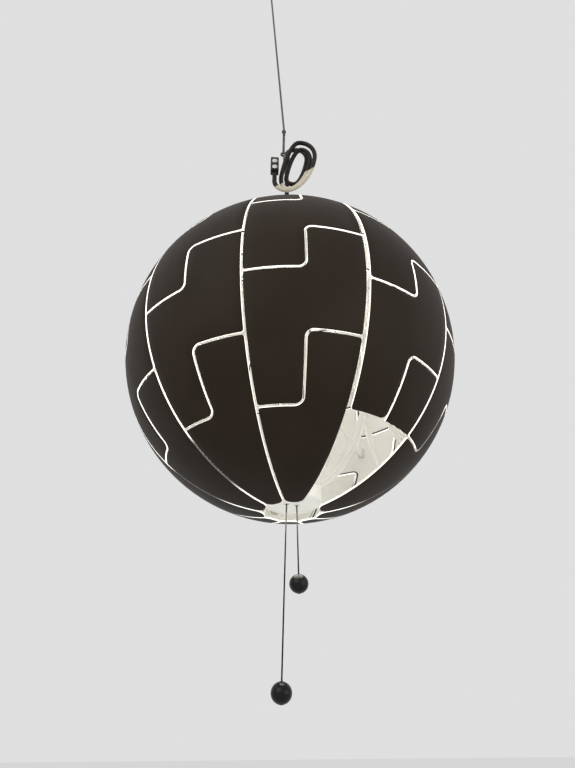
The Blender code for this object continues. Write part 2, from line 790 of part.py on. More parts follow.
def make_top_housing():
    """A domed cap with the flex's tapered strain relief on it."""
    bore = FLEX_RADIUS + SEAT_GAP
    inside = HOUSING_RADIUS - HOUSING_WALL
    waist = (HOUSING_RADIUS + RELIEF_BASE_RADIUS) / 2
    profile = [
        (bore, RELIEF_TIP),
        (RELIEF_TIP_RADIUS, RELIEF_TIP),
        (RELIEF_BASE_RADIUS, RELIEF_BASE),
        (waist, RELIEF_BASE - HOUSING_DOME_HEIGHT / 4),
        (HOUSING_RADIUS, HOUSING_SHOULDER),
        (HOUSING_RADIUS, HOUSING_BASE),
        (inside, HOUSING_BASE),
        (inside, HOUSING_SHOULDER - HOUSING_WALL / 2),
        (waist, RELIEF_BASE - HOUSING_DOME_HEIGHT / 4 - HOUSING_WALL),
        (bore, RELIEF_BASE - HOUSING_WALL / 2),
    ]
    add_piece("top_housing", turned_mesh("top_housing", profile), white_plastic, globe)


HOLDER_TOP = HOUSING_BASE + HOLDER_FLANGE_HEIGHT
HOLDER_BOTTOM = HOLDER_TOP - HOLDER_LENGTH
BULB_TOP = HOUSING_BASE - HOLDER_WALL - RUNNING_GAP


def make_lampholder():
    inside = HOLDER_RADIUS - HOLDER_WALL
    profile = [
        (HOLDER_WIRE_HOLE_RADIUS, HOLDER_TOP),
        (HOLDER_FLANGE_RADIUS, HOLDER_TOP),
        (HOLDER_FLANGE_RADIUS, HOUSING_BASE),
        (HOLDER_RADIUS, HOUSING_BASE),
        (HOLDER_RADIUS, HOLDER_BOTTOM),
        (inside, HOLDER_BOTTOM),
        (inside, HOUSING_BASE - HOLDER_WALL),
        (HOLDER_WIRE_HOLE_RADIUS, HOUSING_BASE - HOLDER_WALL),
    ]
    add_piece("lampholder", turned_mesh("lampholder", profile), holder_plastic, globe)


def make_bulb():
    cap_bottom = BULB_TOP - BULB_CAP_LENGTH
    neck_bottom = cap_bottom - BULB_NECK_LENGTH
    belly = neck_bottom - BULB_SHOULDER_LENGTH
    profile = [
        (0.0, BULB_TOP),
        (BULB_TIP_RADIUS, BULB_TOP),
        (BULB_CAP_RADIUS, BULB_TOP - BULB_TIP_LENGTH),
        (BULB_CAP_RADIUS, neck_bottom),
    ]
    shoulder_steps = 4
    for step in range(1, shoulder_steps + 1):
        share = step / shoulder_steps
        swell = math.sin(share * math.pi / 2)
        radius = BULB_CAP_RADIUS + (BULB_RADIUS - BULB_CAP_RADIUS) * swell
        profile.append((radius, neck_bottom - BULB_SHOULDER_LENGTH * share))
    dome_steps = 5
    for step in range(1, dome_steps):
        angle = math.pi / 2 * step / dome_steps
        profile.append((BULB_RADIUS * math.cos(angle), belly - BULB_RADIUS * math.sin(angle)))
    profile.append((0.0, belly - BULB_RADIUS))
    add_piece("bulb", turned_mesh("bulb", profile, BULB_SEGMENTS), bulb_glass, globe)


HUB_BOTTOM = -PIVOT_HEIGHT - HUB_HALF_THICKNESS
CUP_TOP = HUB_BOTTOM - SEAT_GAP
CUP_BOTTOM = CUP_TOP - CUP_DEPTH
AXLE_HEIGHT = -PIVOT_HEIGHT - AXLE_DROP


def make_bottom_cup():
    """The round cup under the bottom hub: the drum's axle turns in its wall, and the two
    strings leave through its floor."""
    inside = CUP_RADIUS - CUP_WALL
    profile = [
        (0.0, CUP_BOTTOM + CUP_WALL),
        (inside, CUP_BOTTOM + CUP_WALL),
        (inside, CUP_TOP),
        (CUP_RADIUS, CUP_TOP),
        (CUP_RADIUS, CUP_BOTTOM + CUP_WALL),
        (CUP_RADIUS - CUP_WALL, CUP_BOTTOM),
        (0.0, CUP_BOTTOM),
    ]
    steps = []
    reach = lift_direction() * (CUP_RADIUS + OVERRUN)
    middle = Vector((0.0, 0.0, AXLE_HEIGHT))
    axle_hole = AXLE_RADIUS + RUNNING_GAP
    steps.append(("DIFFERENCE", rod_mesh("cup_axle_hole", middle - reach, middle + reach, axle_hole)))
    for side in (-1, 1):
        place = side * STRING_OFFSET * lift_across()
        low = place + Vector((0.0, 0.0, CUP_BOTTOM - OVERRUN))
        high = place + Vector((0.0, 0.0, CUP_BOTTOM + CUP_WALL + OVERRUN))
        steps.append(("DIFFERENCE", rod_mesh(f"cup_string_hole_{side}", low, high, CUP_HOLE_RADIUS)))
    mesh = combine("bottom_cup", turned_mesh("bottom_cup", profile), steps)
    add_piece("bottom_cup", mesh, white_plastic, globe)


def make_string_drum():
    """One turned axle: the strings' drum in the middle and a lift spool at each end."""
    half = DRUM_WIDTH / 2
    spool_in = LIFT_RADIUS - LIFT_SPOOL_WIDTH / 2
    spool_out = LIFT_RADIUS + LIFT_SPOOL_WIDTH / 2
    right = [
        (DRUM_CORE_RADIUS, half - FLANGE_THICKNESS),
        (DRUM_FLANGE_RADIUS, half - FLANGE_THICKNESS),
        (DRUM_FLANGE_RADIUS, half),
        (AXLE_RADIUS, half),
        (AXLE_RADIUS, spool_in - FLANGE_THICKNESS),
        (LIFT_FLANGE_RADIUS, spool_in - FLANGE_THICKNESS),
        (LIFT_FLANGE_RADIUS, spool_in),
        (LIFT_SPOOL_RADIUS, spool_in),
        (LIFT_SPOOL_RADIUS, spool_out),
        (LIFT_FLANGE_RADIUS, spool_out),
        (LIFT_FLANGE_RADIUS, spool_out + FLANGE_THICKNESS),
        (0.0, spool_out + FLANGE_THICKNESS),
    ]
    profile = right[::-1] + [(radius, -height) for radius, height in right]
    mesh = turned_mesh("string_drum", profile, DRUM_SEGMENTS)
    mesh.transform(lift_turn() @ Matrix.Rotation(math.pi / 2, 4, "Y"))
    add_piece("string_drum", mesh, drum_plastic, globe, (0.0, 0.0, AXLE_HEIGHT))


def make_lift_lines():
    top = PIVOT_HEIGHT + HUB_HALF_THICKNESS - PIVOT_WIRE_RADIUS / 2 - SEAT_GAP
    tangent = LIFT_SPOOL_RADIUS + LIFT_LINE_RADIUS + SEAT_GAP
    for side, word in ((1, "front"), (-1, "back")):
        place = lift_direction(side) * LIFT_RADIUS - side * lift_across() * tangent
        points = smooth_line(
            [place + Vector((0.0, 0.0, AXLE_HEIGHT)), place + Vector((0.0, 0.0, top))], STRING_POINTS
        )
        mesh = tube_mesh(f"lift_line_{word}", points, LIFT_LINE_RADIUS, resolution=1)
        add_piece(f"lift_line_{word}", mesh, string_fibre, globe)


def make_pull(word, side, ball_drop, leans, above_cup):
    """A string with its ball, straight down from the cup's hole at its leans in X and Y."""
    hole = side * STRING_OFFSET * lift_across() + Vector((0.0, 0.0, CUP_BOTTOM))
    hanger = add_object(f"{word}_pull", None, lamp, globe)
    down = Vector((*(math.tan(math.radians(lean)) for lean in leans), -1.0))
    drop = (ball_drop + CUP_BOTTOM) * down.length
    turn = down.to_track_quat("-Z", "Y").to_matrix().to_4x4()
    hanger.matrix_local = Matrix.Translation(hole + down.normalized() * drop) @ turn
    ball = sphere_profile(BALL_RADIUS, BALL_RINGS)
    ball = [(radius, height * BALL_HALF_HEIGHT / BALL_RADIUS) for radius, height in ball]
    add_piece(f"{word}_ball", turned_mesh(f"{word}_ball", ball, BALL_SEGMENTS), ball_dark, hanger)
    ends = [(0.0, 0.0, BALL_HALF_HEIGHT + SEAT_GAP), (0.0, 0.0, drop + above_cup)]
    points = smooth_line(ends, STRING_POINTS)
    mesh = tube_mesh(f"{word}_string", points, STRING_RADIUS, resolution=1)
    add_piece(f"{word}_string", mesh, string_fibre, hanger)


def coil_turns(begin):
    """From a straight start, quarters of leaning ellipses join the turns' outermost places."""
    points = [begin, begin + Vector((0.0, 0.0, 2 * FLEX_RADIUS))]
    for number, shares in enumerate(COIL_QUARTER_SHARES):
        start = points[-1]
        step = begin + COIL_SPAN * Vector(shares) - start
        lean = COIL_LEAN * step.z
        for cut in range(1, QUARTER_STEPS + 1):
            angle = math.pi / 2 * cut / QUARTER_STEPS
            early, late = math.sin(angle), 1 - math.cos(angle)
            up, across = (early, late) if number % 2 == 0 else (late, early)
            right = (step.x - lean) * across + lean * up
            points.append(start + Vector((right, step.y * cut / QUARTER_STEPS, step.z * up)))
    points.append(begin + COIL_SPAN * Vector(COIL_END_SHARES))
    return points


def flex_route():
    """The flex from the strain relief to the connector, as (riser, coil) points."""
    top = Vector((RISER_TOP[0], COIL_BACK, RISER_TOP[1]))
    diameter = 2 * FLEX_RADIUS
    start = Vector((0.0, 0.0, RELIEF_TIP + SEAT_GAP))
    riser = [
        start,
        start + Vector((0.0, 0.0, diameter)),
        *(Vector(bend) for bend in RISER_BENDS),
        top - Vector((0.0, 0.0, GRIP_LENGTH)),
        top,
    ]
    begin = top + Vector((0.0, 0.0, SEAT_GAP))
    return smooth_line(riser, RISER_POINTS), smooth_line(coil_turns(begin), COIL_POINTS)


def least_gap(points, diameter):
    """The least gap between stretches of a tube that aren't neighbours along it."""
    least = 1.0
    travelled = [0.0]
    for first, second in zip(points, points[1:]):
        travelled.append(travelled[-1] + (second - first).length)
    for i, first in enumerate(points):
        for j in range(i + 1, len(points)):
            if travelled[j] - travelled[i] > 3 * diameter:
                least = min(least, (points[j] - first).length - diameter)
    return least


def make_flex():
    riser, coil = flex_route()
    add_piece("flex_riser", tube_mesh("flex_riser", riser, FLEX_RADIUS), flex_plastic, globe)
    print(f"least gap in the coil: {1000 * least_gap(coil, 2 * FLEX_RADIUS):.2f} mm")
    mesh = tube_mesh("flex_coil", coil, FLEX_RADIUS, resolution=1)
    add_piece("flex_coil", mesh, flex_plastic, globe)
    return coil[-1], (coil[-1] - coil[-2]).normalized()


def make_connector(end, along):
    """The terminal block on the flex's end, in line with it."""
    length = CONNECTOR_SIZE[2]
    bm = bmesh.new()
    bmesh.ops.create_cube(bm, size=1.0)
    bmesh.ops.transform(bm, matrix=Matrix.Diagonal((*CONNECTOR_SIZE, 1.0)), verts=bm.verts)
    block = add_helper("connector_block", mesh_from("connector_block", bm))
    bevel = block.modifiers.new("Edges", "BEVEL")
    bevel.width = CONNECTOR_BEVEL
    bevel.segments = CONNECTOR_BEVEL_STEPS
    mesh = evaluated_mesh(block, "connector")
    turn = along.to_track_quat("Z", "Y").to_matrix().to_4x4()
    place = end + along * (length / 2 + SEAT_GAP)
    mesh.transform(turn)
    add_piece("connector", mesh, connector_plastic, globe, place)


def make_hanging_hook():
    """A sleeve round the flex, and behind it a wire up to a ring, a stem and a knob."""
    top = Vector((RISER_TOP[0], COIL_BACK, RISER_TOP[1] - SEAT_GAP))
    low = top - Vector((0.0, 0.0, GRIP_LENGTH))
    overrun = Vector((0.0, 0.0, OVERRUN))
    ring_centre = Vector(EYE_RING_PLACE)
    reach = Vector((0.0, 0.0, EYE_RING_RADIUS))
    foot = (low + top) / 2 + Vector((0.0, (GRIP_RADIUS + FLEX_RADIUS + SEAT_GAP) / 2, 0.0))
    stem_top = Vector(STEM_TOP)
    bore = FLEX_RADIUS + SEAT_GAP
    angles = [2 * math.pi * index / SLEEVE_SEGMENTS for index in range(SLEEVE_SEGMENTS)]
    ring = [
        ring_centre + EYE_RING_RADIUS * Vector((math.cos(angle), 0.0, math.sin(angle))) for angle in angles
    ]
    knob = turned_mesh("hook_knob", sphere_profile(KNOB_RADIUS, KNOB_RINGS), KNOB_SEGMENTS)
    knob.transform(Matrix.Translation(stem_top))
    steps = [
        ("UNION", rod_mesh("hook_tail", foot, ring_centre - reach, EYE_RING_WIRE_RADIUS)),
        ("UNION", tube_mesh("hook_ring", ring, EYE_RING_WIRE_RADIUS, 1, cyclic=True)),
        ("UNION", rod_mesh("hook_stem", ring_centre + reach, stem_top, STEM_RADIUS)),
        ("UNION", knob),
        ("DIFFERENCE", rod_mesh("hook_bore", low - overrun, top + overrun, bore, SLEEVE_SEGMENTS)),
    ]
    sleeve = rod_mesh("hook_sleeve", low, top, GRIP_RADIUS, SLEEVE_SEGMENTS)
    add_piece("hanging_hook", combine("hanging_hook", sleeve, steps), hook_metal, globe)
    return stem_top + Vector((0.0, 0.0, KNOB_RADIUS))


def sphere_profile(radius, steps):
    angles = [math.pi * step / steps for step in range(steps + 1)]
    inner = [(radius * math.sin(angle), radius * math.cos(angle)) for angle in angles[1:-1]]
    return [(0.0, radius), *inner, (0.0, -radius)]


def make_ceiling_lead(knob_top):
    boss_bottom = CEILING_HEIGHT - PLATE_THICKNESS - PLATE_BOSS_HEIGHT
    top = Vector((-CEILING_SHIFT, 0.0, boss_bottom - SEAT_GAP))
    start = knob_top + Vector((0.0, 0.0, SEAT_GAP))
    straight = Vector((0.0, 0.0, 2 * LEAD_RADIUS))
    points = smooth_line([start, start + straight, start.lerp(top, 0.5), top - straight, top], LEAD_POINTS)
    add_piece("ceiling_lead", tube_mesh("ceiling_lead", points, LEAD_RADIUS), lead_plastic, globe)


def make_ceiling_plate():
    low = -PLATE_THICKNESS
    profile = [
        (0.0, 0.0),
        (PLATE_RADIUS, 0.0),
        (PLATE_RADIUS, low / 2),
        (PLATE_RADIUS + low / 2, low),
        (PLATE_BOSS_RADIUS, low),
        (PLATE_BOSS_RADIUS, low - PLATE_BOSS_HEIGHT),
        (0.0, low - PLATE_BOSS_HEIGHT),
    ]
    add_piece("ceiling_plate", turned_mesh("ceiling_plate", profile), lead_plastic, None)


clear_scene()
lamp = new_collection("globe_pendant_lamp")
helpers = new_collection("cutters")

panel_dark = material("panel_dark", (0.034, 0.022, 0.016), 0.42)
white_plastic = material("white_plastic", (0.85, 0.84, 0.80), 0.45)
holder_plastic = material("holder_plastic", (0.80, 0.79, 0.75), 0.40)
drum_plastic = material("drum_plastic", (0.75, 0.74, 0.70), 0.40)
bulb_glass = material("bulb_glass", (1.0, 0.95, 0.85), 0.15, emission=2.0)
ball_dark = material("ball_dark", (0.05, 0.048, 0.047), 0.30, metallic=0.6)
string_fibre = material("string_fibre", (0.55, 0.53, 0.48), 0.80)
flex_plastic = material("flex_plastic", (0.10, 0.095, 0.085), 0.40)
lead_plastic = material("lead_plastic", (0.20, 0.19, 0.17), 0.50)
hook_metal = material("hook_metal", (0.25, 0.24, 0.22), 0.35, metallic=0.9)
connector_plastic = material("connector_plastic", (0.045, 0.040, 0.034), 0.35)

globe = add_object("globe_centre", None, lamp)
globe.location = GLOBE_CENTRE

make_columns()
make_top_hub()
make_top_housing()
make_lampholder()
make_bulb()
make_bottom_hub()
make_bottom_cup()
make_string_drum()
make_lift_lines()
make_pull("opening", 1, OPENING_BALL_DROP, OPENING_STRING_LEANS, STRING_TRAVEL)
make_pull("closing", -1, CLOSING_BALL_DROP, CLOSING_STRING_LEANS, AXLE_HEIGHT - CUP_BOTTOM)
flex_end, flex_direction = make_flex()
make_connector(flex_end, flex_direction)
make_ceiling_lead(make_hanging_hook())
make_ceiling_plate()
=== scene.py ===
"""The looks of a globe pendant lamp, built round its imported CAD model.

Ten columns of dark stepped panels close into a globe that is white inside and lit by a bulb.
Metres and the row frame throughout. A column's own frame has X outwards, Y across and Z up,
with the globe's centre as its origin.
"""

import math

import bmesh
import bpy
from mathutils import Matrix, Vector


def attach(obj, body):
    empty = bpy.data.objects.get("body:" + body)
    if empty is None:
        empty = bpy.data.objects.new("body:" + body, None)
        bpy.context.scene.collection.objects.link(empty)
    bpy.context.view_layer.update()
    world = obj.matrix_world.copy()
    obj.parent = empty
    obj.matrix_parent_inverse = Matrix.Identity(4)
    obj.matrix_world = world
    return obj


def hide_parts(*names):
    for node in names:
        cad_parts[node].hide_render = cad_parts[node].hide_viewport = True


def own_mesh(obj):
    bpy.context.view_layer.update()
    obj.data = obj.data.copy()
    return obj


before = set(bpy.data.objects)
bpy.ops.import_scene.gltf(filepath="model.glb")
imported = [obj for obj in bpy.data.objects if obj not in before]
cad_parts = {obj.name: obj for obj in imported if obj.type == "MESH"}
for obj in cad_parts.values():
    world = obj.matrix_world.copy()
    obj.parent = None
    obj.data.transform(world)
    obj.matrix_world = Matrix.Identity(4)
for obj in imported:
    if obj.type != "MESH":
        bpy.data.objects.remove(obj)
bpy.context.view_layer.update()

# The globe, as in the CAD model
GLOBE_CENTRE = Vector((0.0285, 0.0, -0.900))
RADIUS = 0.175
WALL = 0.0016
COLUMNS = 10
FRONT_ANGLE = 4.9
SEAM = 0.0022
WIDE_SEAM = 0.0042
WIDE_SEAM_COLUMN = 0
BROKEN_COLUMN = 1
MIDDLE_STEP = 8.0
STEP_LOW = 26.0
STEP_HIGH = 46.0
TIP = 81.0
STEP_CORNER = 0.006
JOINT_CORNER = 0.0022
TIP_CORNER = 0.006
HALF_COLUMN = math.pi / COLUMNS
COLUMN_CUTS = 6
LATITUDE_CUT = 2.5
EDGE_BEVEL = 0.00035
STRIP_IN = 0.00045
STRIP_WIDE = 0.0018
STRIP_SUNK = 0.0002
STRIP_PROUD = 0.0002
FACE_ON = 0.93
EDGE_ON = 0.3
FAIR_GAP = 0.0003

TO_GLOBE = Matrix.Translation(GLOBE_CENTRE)

# Where the panels' edges lose their painted white and glow and stay dark: angles from the front in
# radians, heights from the centre
DIM_LEFT = (0.62, 0.72)
DIM_RIGHT = (1.20, 1.40)
DIM_LEFT_BELOW = (-0.136, -0.127)
DIM_RIGHT_BELOW = (-0.098, -0.080)
DIM_ABOVE = (-0.168, -0.158)

# The flex's painted light: it is cream below a sloping plane, where it also lies in front or at the
# coil's foot
FLEX_PAINTED_LIGHT_SLOPE = (-0.74, -1.25, 1.0)
FLEX_PAINTED_LIGHT_LEVEL = (-0.6155, -0.6115)
FLEX_PAINTED_LIGHT_FRONT = (-0.0166, -0.0154)
FLEX_PAINTED_LIGHT_FOOT = (-0.634, -0.629)
# The strings' painted light and shade: lighter above, darkening between these heights
STRING_PAINTED_LIGHT_END = -1.075
STRING_PAINTED_SHADE_START = -1.112


# Finishes


class Value:
    """A shader socket that Python's operators work on."""

    def __init__(self, maker, socket):
        self.maker = maker
        self.socket = socket

    def __add__(self, other):
        return self.maker.maths("ADD", self, other)

    def __radd__(self, other):
        return self.maker.maths("ADD", other, self)

    def __sub__(self, other):
        return self.maker.maths("SUBTRACT", self, other)

    def __rsub__(self, other):
        return self.maker.maths("SUBTRACT", other, self)

    def __mul__(self, other):
        return self.maker.maths("MULTIPLY", self, other)

    def __rmul__(self, other):
        return self.maker.maths("MULTIPLY", other, self)


class Nodes:
    """Makes the nodes of a material or a world."""

    def __init__(self, tree):
        self.tree = tree

    def put(self, socket, value):
        """Sets or links a socket. A colour is red, green and blue."""
        if isinstance(value, Value):
            self.tree.links.new(value.socket, socket)
        else:
            socket.default_value = (*value, 1.0) if socket.type == "RGBA" else value

    def node(self, kind, settings, sockets, out=0):
        made = self.tree.nodes.new(kind)
        for name, value in settings.items():
            setattr(made, name, value)
        for socket, value in sockets.items():
            self.put(made.inputs[socket], value)
        return Value(self, made.outputs[out])

    def maths(self, operation, first, second):
        return self.node("ShaderNodeMath", {"operation": operation}, {0: first, 1: second})

    def place(self):
        return self.node("ShaderNodeTexCoord", {}, {}, out="Object")

    def along(self, axis):
        """The row frame's X, Y or Z at the point, in metres."""
        return self.node("ShaderNodeSeparateXYZ", {}, {0: self.place()}, out="XYZ".index(axis))

    def seen(self):
        """1 where the camera looks, straight or by a reflection or through glass."""
        camera, glossy, through = (
            self.node("ShaderNodeLightPath", {}, {}, out=f"Is {kind} Ray")
            for kind in ("Camera", "Glossy", "Transmission")
        )
        return self.maths("MAXIMUM", self.maths("MAXIMUM", camera, glossy), through)

    def noise(self, scale, detail=2.0, roughness=0.5, stretch=(1.0, 1.0, 1.0)):
        scaled = self.node("ShaderNodeMapping", {}, {"Vector": self.place(), "Scale": stretch})
        sockets = {"Vector": scaled, "Scale": scale, "Detail": detail, "Roughness": roughness}
        return self.node("ShaderNodeTexNoise", {}, sockets)

    def cells(self, scale):
        return self.node("ShaderNodeTexVoronoi", {}, {"Vector": self.place(), "Scale": scale})

    def ramp(self, value, low, high):
        """0 below low, 1 above high."""
        sockets = {0: value, 1: low, 2: high, 3: 0.0, 4: 1.0}
        return self.node("ShaderNodeMapRange", {"interpolation_type": "SMOOTHSTEP"}, sockets)

    def mix(self, share, first, second):
        """From the first colour to the second as share goes from 0 to 1."""
        sockets = {0: share, 6: first, 7: second}
        return self.node("ShaderNodeMix", {"data_type": "RGBA"}, sockets, out=2)

    def bump(self, height, depth, strength):
        sockets = {"Height": height, "Distance": depth, "Strength": strength}
        return self.node("ShaderNodeBump", {}, sockets)


class Finish(Nodes):
    """One material with one shader."""

    def __init__(self, name, **fixed):
        self.material = bpy.data.materials.new(name)
        self.material.use_nodes = True
        super().__init__(self.material.node_tree)
        self.shader = self.tree.nodes["Principled BSDF"]
        self.surface(**fixed)

    def surface(self, **inputs):
        """Sets or links the shader's inputs, named with _ for a space, and gives the material."""
        for socket, value in inputs.items():
            self.put(self.shader.inputs[socket.replace("_", " ")], value)
        return self.material


def panel_outside():
    """Dark brown satin lacquer on moulded plastic: fine grain, slow sheen changes, faint dust."""
    made = Finish("panel_outside", Specular_IOR_Level=0.10)
    cloud = made.noise(14.0, 3.0)
    grain = made.noise(1400.0, 2.0)
    smear = made.noise(40.0, 4.0, 0.6, (1.0, 1.0, 0.35))
    deep, light = (0.027, 0.0185, 0.0128), (0.033, 0.0235, 0.0168)
    base = made.mix(made.ramp(cloud, 0.35, 0.7), deep, light)
    speck = made.ramp(made.noise(700.0, 1.0), 0.70, 0.78) * 0.35
    base = made.mix(speck, base, (0.055, 0.046, 0.036))
    rough = 0.44 + 0.14 * smear + 0.05 * grain
    return made.surface(Base_Color=base, Roughness=rough, Normal=made.bump(grain, 0.00006, 0.5))


def painted_glow_edge():
    """The edge of a panel, painted white and glowing as painted light from the bulb inside, except low
    on both sides, where it is dark and does not glow.
    """
    made = Finish("painted_glow_edge", Emission_Strength=1.05)
    patch = made.noise(90.0, 2.0)
    across, ahead = made.along("X") - GLOBE_CENTRE.x, 0.0 - made.along("Y")
    bearing = made.maths("ARCTAN2", across, ahead)
    level = made.along("Z") - GLOBE_CENTRE.z
    left = made.ramp(0.0 - bearing, *DIM_LEFT) * (1.0 - made.ramp(level, *DIM_LEFT_BELOW))
    right = made.ramp(bearing, *DIM_RIGHT) * (1.0 - made.ramp(level, *DIM_RIGHT_BELOW))
    # dim takes the painted light off the edges low on both sides
    dim = 0.9 * (left + right) * made.ramp(level, *DIM_ABOVE)
    # The white base and the glow are painted light from the bulb inside
    base = made.mix(patch, (0.86, 0.84, 0.78), (0.92, 0.91, 0.87))
    glow = made.mix(patch, (0.86, 0.83, 0.77), (1.0, 0.98, 0.94))
    return made.surface(
        Base_Color=made.mix(dim, base, (0.035, 0.026, 0.02)),
        Emission_Color=made.mix(dim, glow, (0.0, 0.0, 0.0)),
        Roughness=0.4 + 0.1 * patch,
    )


def lit_glass():
    """Opal glass, lit from inside, with a slow change of shade."""
    made = Finish("lit_glass", Emission_Strength=7.7, Coat_Weight=0.5)
    patch = made.noise(30.0, 2.0)
    return made.surface(
        Base_Color=made.mix(patch, (0.92, 0.90, 0.84), (0.95, 0.94, 0.90)),
        Emission_Color=made.mix(patch, (1.0, 0.95, 0.87), (1.0, 0.975, 0.92)),
        Roughness=0.18 + 0.08 * patch,
    )


def metal(name, dark, light, rough):
    """Drawn or turned metal with fine scratches and dull patches."""
    made = Finish(name, Metallic=1.0)
    patch = made.noise(180.0, 4.0, 0.6)
    scratch = made.noise(900.0, 3.0, 0.7, (1.0, 1.0, 0.12))
    return made.surface(
        Base_Color=made.mix(made.ramp(patch, 0.3, 0.7), dark, light),
        Roughness=rough + 0.18 * patch,
        Normal=made.bump(scratch, 0.00004, 0.5),
    )


def ball_lacquer():
    """Near-black lacquer with fine flakes, dulled in worn patches."""
    made = Finish("ball_lacquer", Coat_Roughness=0.16, Specular_IOR_Level=0.1)
    flake = made.cells(2600.0)
    worn = made.ramp(made.noise(150.0, 4.0, 0.6), 0.55, 0.75)
    deep, light = (0.004, 0.004, 0.0046), (0.009, 0.0088, 0.0092)
    base = made.mix(made.ramp(flake, 0.2, 0.6), deep, light)
    base = made.mix(0.4 * worn, base, (0.026, 0.025, 0.024))
    return made.surface(
        Base_Color=base,
        Roughness=0.28 + 0.14 * worn,
        Coat_Weight=0.22,
        Normal=made.bump(flake, 0.00003, 0.3),
    )


def string_fibre():
    """Twisted grey fibre with painted light and shade: pale below the cup, where the lit globe lights
    it, and painted dark further down.
    """
    made = Finish("string_fibre", Sheen_Weight=0.02, Specular_IOR_Level=0.08)
    hair = made.noise(5000.0, 2.0, 0.6, (1.0, 1.0, 0.2))
    soil_and_shade_wobble = made.noise(60.0, 3.0)
    base = made.mix(hair, (0.060, 0.056, 0.047), (0.088, 0.083, 0.072))
    # Painted shade: the string darkens below the cup, where the globe's light falls off
    painted_shade_below = 1.0 - made.ramp(made.along("Z") + 0.01 * soil_and_shade_wobble, STRING_PAINTED_SHADE_START, STRING_PAINTED_LIGHT_END)
    base = made.mix(0.35 * soil_and_shade_wobble, base, (0.048, 0.045, 0.039))
    base = made.mix(0.97 * painted_shade_below, base, (0.006, 0.0056, 0.0054))
    rough = 0.75 + 0.15 * hair
    return made.surface(Base_Color=base, Roughness=rough, Normal=made.bump(hair, 0.0001, 0.6))


def flex_sheath():
    """Smooth sheath with painted light and shade: dark above, and cream in its lowest part, where the
    lit globe lights it.
    """
    made = Finish("flex_sheath", Coat_Roughness=0.10, Specular_IOR_Level=0.09)
    sockets = {0: made.place(), 1: FLEX_PAINTED_LIGHT_SLOPE}
    slope = made.node("ShaderNodeVectorMath", {"operation": "DOT_PRODUCT"}, sockets, out=1)
    wander = made.noise(120.0, 2.0) * 0.004
    front = 1.0 - made.ramp(made.along("Y"), *FLEX_PAINTED_LIGHT_FRONT)
    foot = 1.0 - made.ramp(made.along("Z"), *FLEX_PAINTED_LIGHT_FOOT)
    below = 1.0 - made.ramp(slope + wander, *FLEX_PAINTED_LIGHT_LEVEL)
    # pale is the painted light that makes the flex cream, as if lit from the globe below
    pale = below * made.maths("MAXIMUM", front, foot)
    streak = made.noise(260.0, 3.0, 0.6)
    dark = made.mix(streak, (0.011, 0.0075, 0.005), (0.030, 0.023, 0.0155))
    cream = made.mix(streak, (0.62, 0.55, 0.42), (0.80, 0.74, 0.60))
    return made.surface(
        Base_Color=made.mix(pale, dark, cream),
        Roughness=0.34 + 0.16 * streak,
        Coat_Weight=0.13,
        Normal=made.bump(made.noise(900.0), 0.00005, 0.4),
    )


def plain_plastic(name, low, high, rough, change=0.12, scales=(70.0, 200.0, 1500.0), **fixed):
    """Moulded plastic with slow shade changes and a fine grain, in scales of spots per metre."""
    made = Finish(name, **fixed)
    clouds, smears, grain = scales
    base = made.mix(made.ramp(made.noise(clouds, 3.0), 0.3, 0.7), low, high)
    # A given emission is a painted glow in the plastic's own colour
    if fixed.get("Emission_Strength"):
        made.surface(Emission_Color=base)
    return made.surface(
        Base_Color=base,
        Roughness=rough + change * made.noise(smears),
        Normal=made.bump(made.noise(grain), 0.00005, 0.4),
    )


def white_moulding(name, glow, warm):
    """Moulded white plastic, with a painted glow where glow is above 0 that stands in for the bulb's
    light through it.
    """
    low, high = (0.82, 0.81, 0.76 - warm), (0.87, 0.86, 0.82 - warm)
    scales = (45.0, 120.0, 1600.0)
    return plain_plastic(name, low, high, 0.36, 0.14, scales, Emission_Strength=glow)


OUTSIDE = panel_outside()
INSIDE = plain_plastic(
    "panel_inside",
    (0.86, 0.86, 0.835),
    (0.90, 0.90, 0.88),
    0.42,
    change=0.1,
    scales=(18.0, 60.0, 1100.0),
    Specular_IOR_Level=0.4,
)
EDGE = painted_glow_edge()
# The arms, hubs, cup and housing have a painted glow; the lampholder and the drum do not
ARM_WHITE = white_moulding("arm_white", 0.20, 0.0)
HUB_WHITE = white_moulding("hub_white", 0.22, 0.0)
CUP_WHITE = white_moulding("cup_white", 0.30, 0.0)
HOUSING_WHITE = white_moulding("housing_white", 0.25, 0.04)
HOLDER_WHITE = white_moulding("holder_white", 0.0, 0.02)
DRUM_WHITE = white_moulding("drum_white", 0.0, 0.03)
BULB_LIT = lit_glass()
BULB_CAP = metal("bulb_cap_nickel", (0.50, 0.49, 0.46), (0.66, 0.65, 0.62), 0.22)
BALL = ball_lacquer()
STRING = string_fibre()
FLEX = flex_sheath()
LEAD = plain_plastic("lead_sheath", (0.065, 0.058, 0.046), (0.10, 0.092, 0.075), 0.42)
HOOK = metal("hook_wire", (0.06, 0.055, 0.047), (0.15, 0.14, 0.125), 0.28)
BLOCK = plain_plastic(
    "block_dark", (0.014, 0.012, 0.010), (0.032, 0.028, 0.023), 0.30, Specular_IOR_Level=0.3
)
TERMINAL = metal("terminal_bright", (0.72, 0.71, 0.68), (0.86, 0.85, 0.82), 0.16)
PLATE = plain_plastic("plate_grey", (0.20, 0.19, 0.17), (0.27, 0.26, 0.24), 0.45)


# Shapes. Edges that bend by more degrees than these are sharp.
SHARP_ANGLE = 35.0
TUBE_SHARP_ANGLE = 50.0
BAR_SHARP_ANGLE = 30.0
# A turned outline's point with a smaller radius lies on the axis
ON_AXIS = 1e-9
# How much of each side of a corner its rounding can take
SIDE_SHARE = 0.45
CURVE_STEPS = 24


def vertical(height):
    return Vector((0.0, 0.0, height))


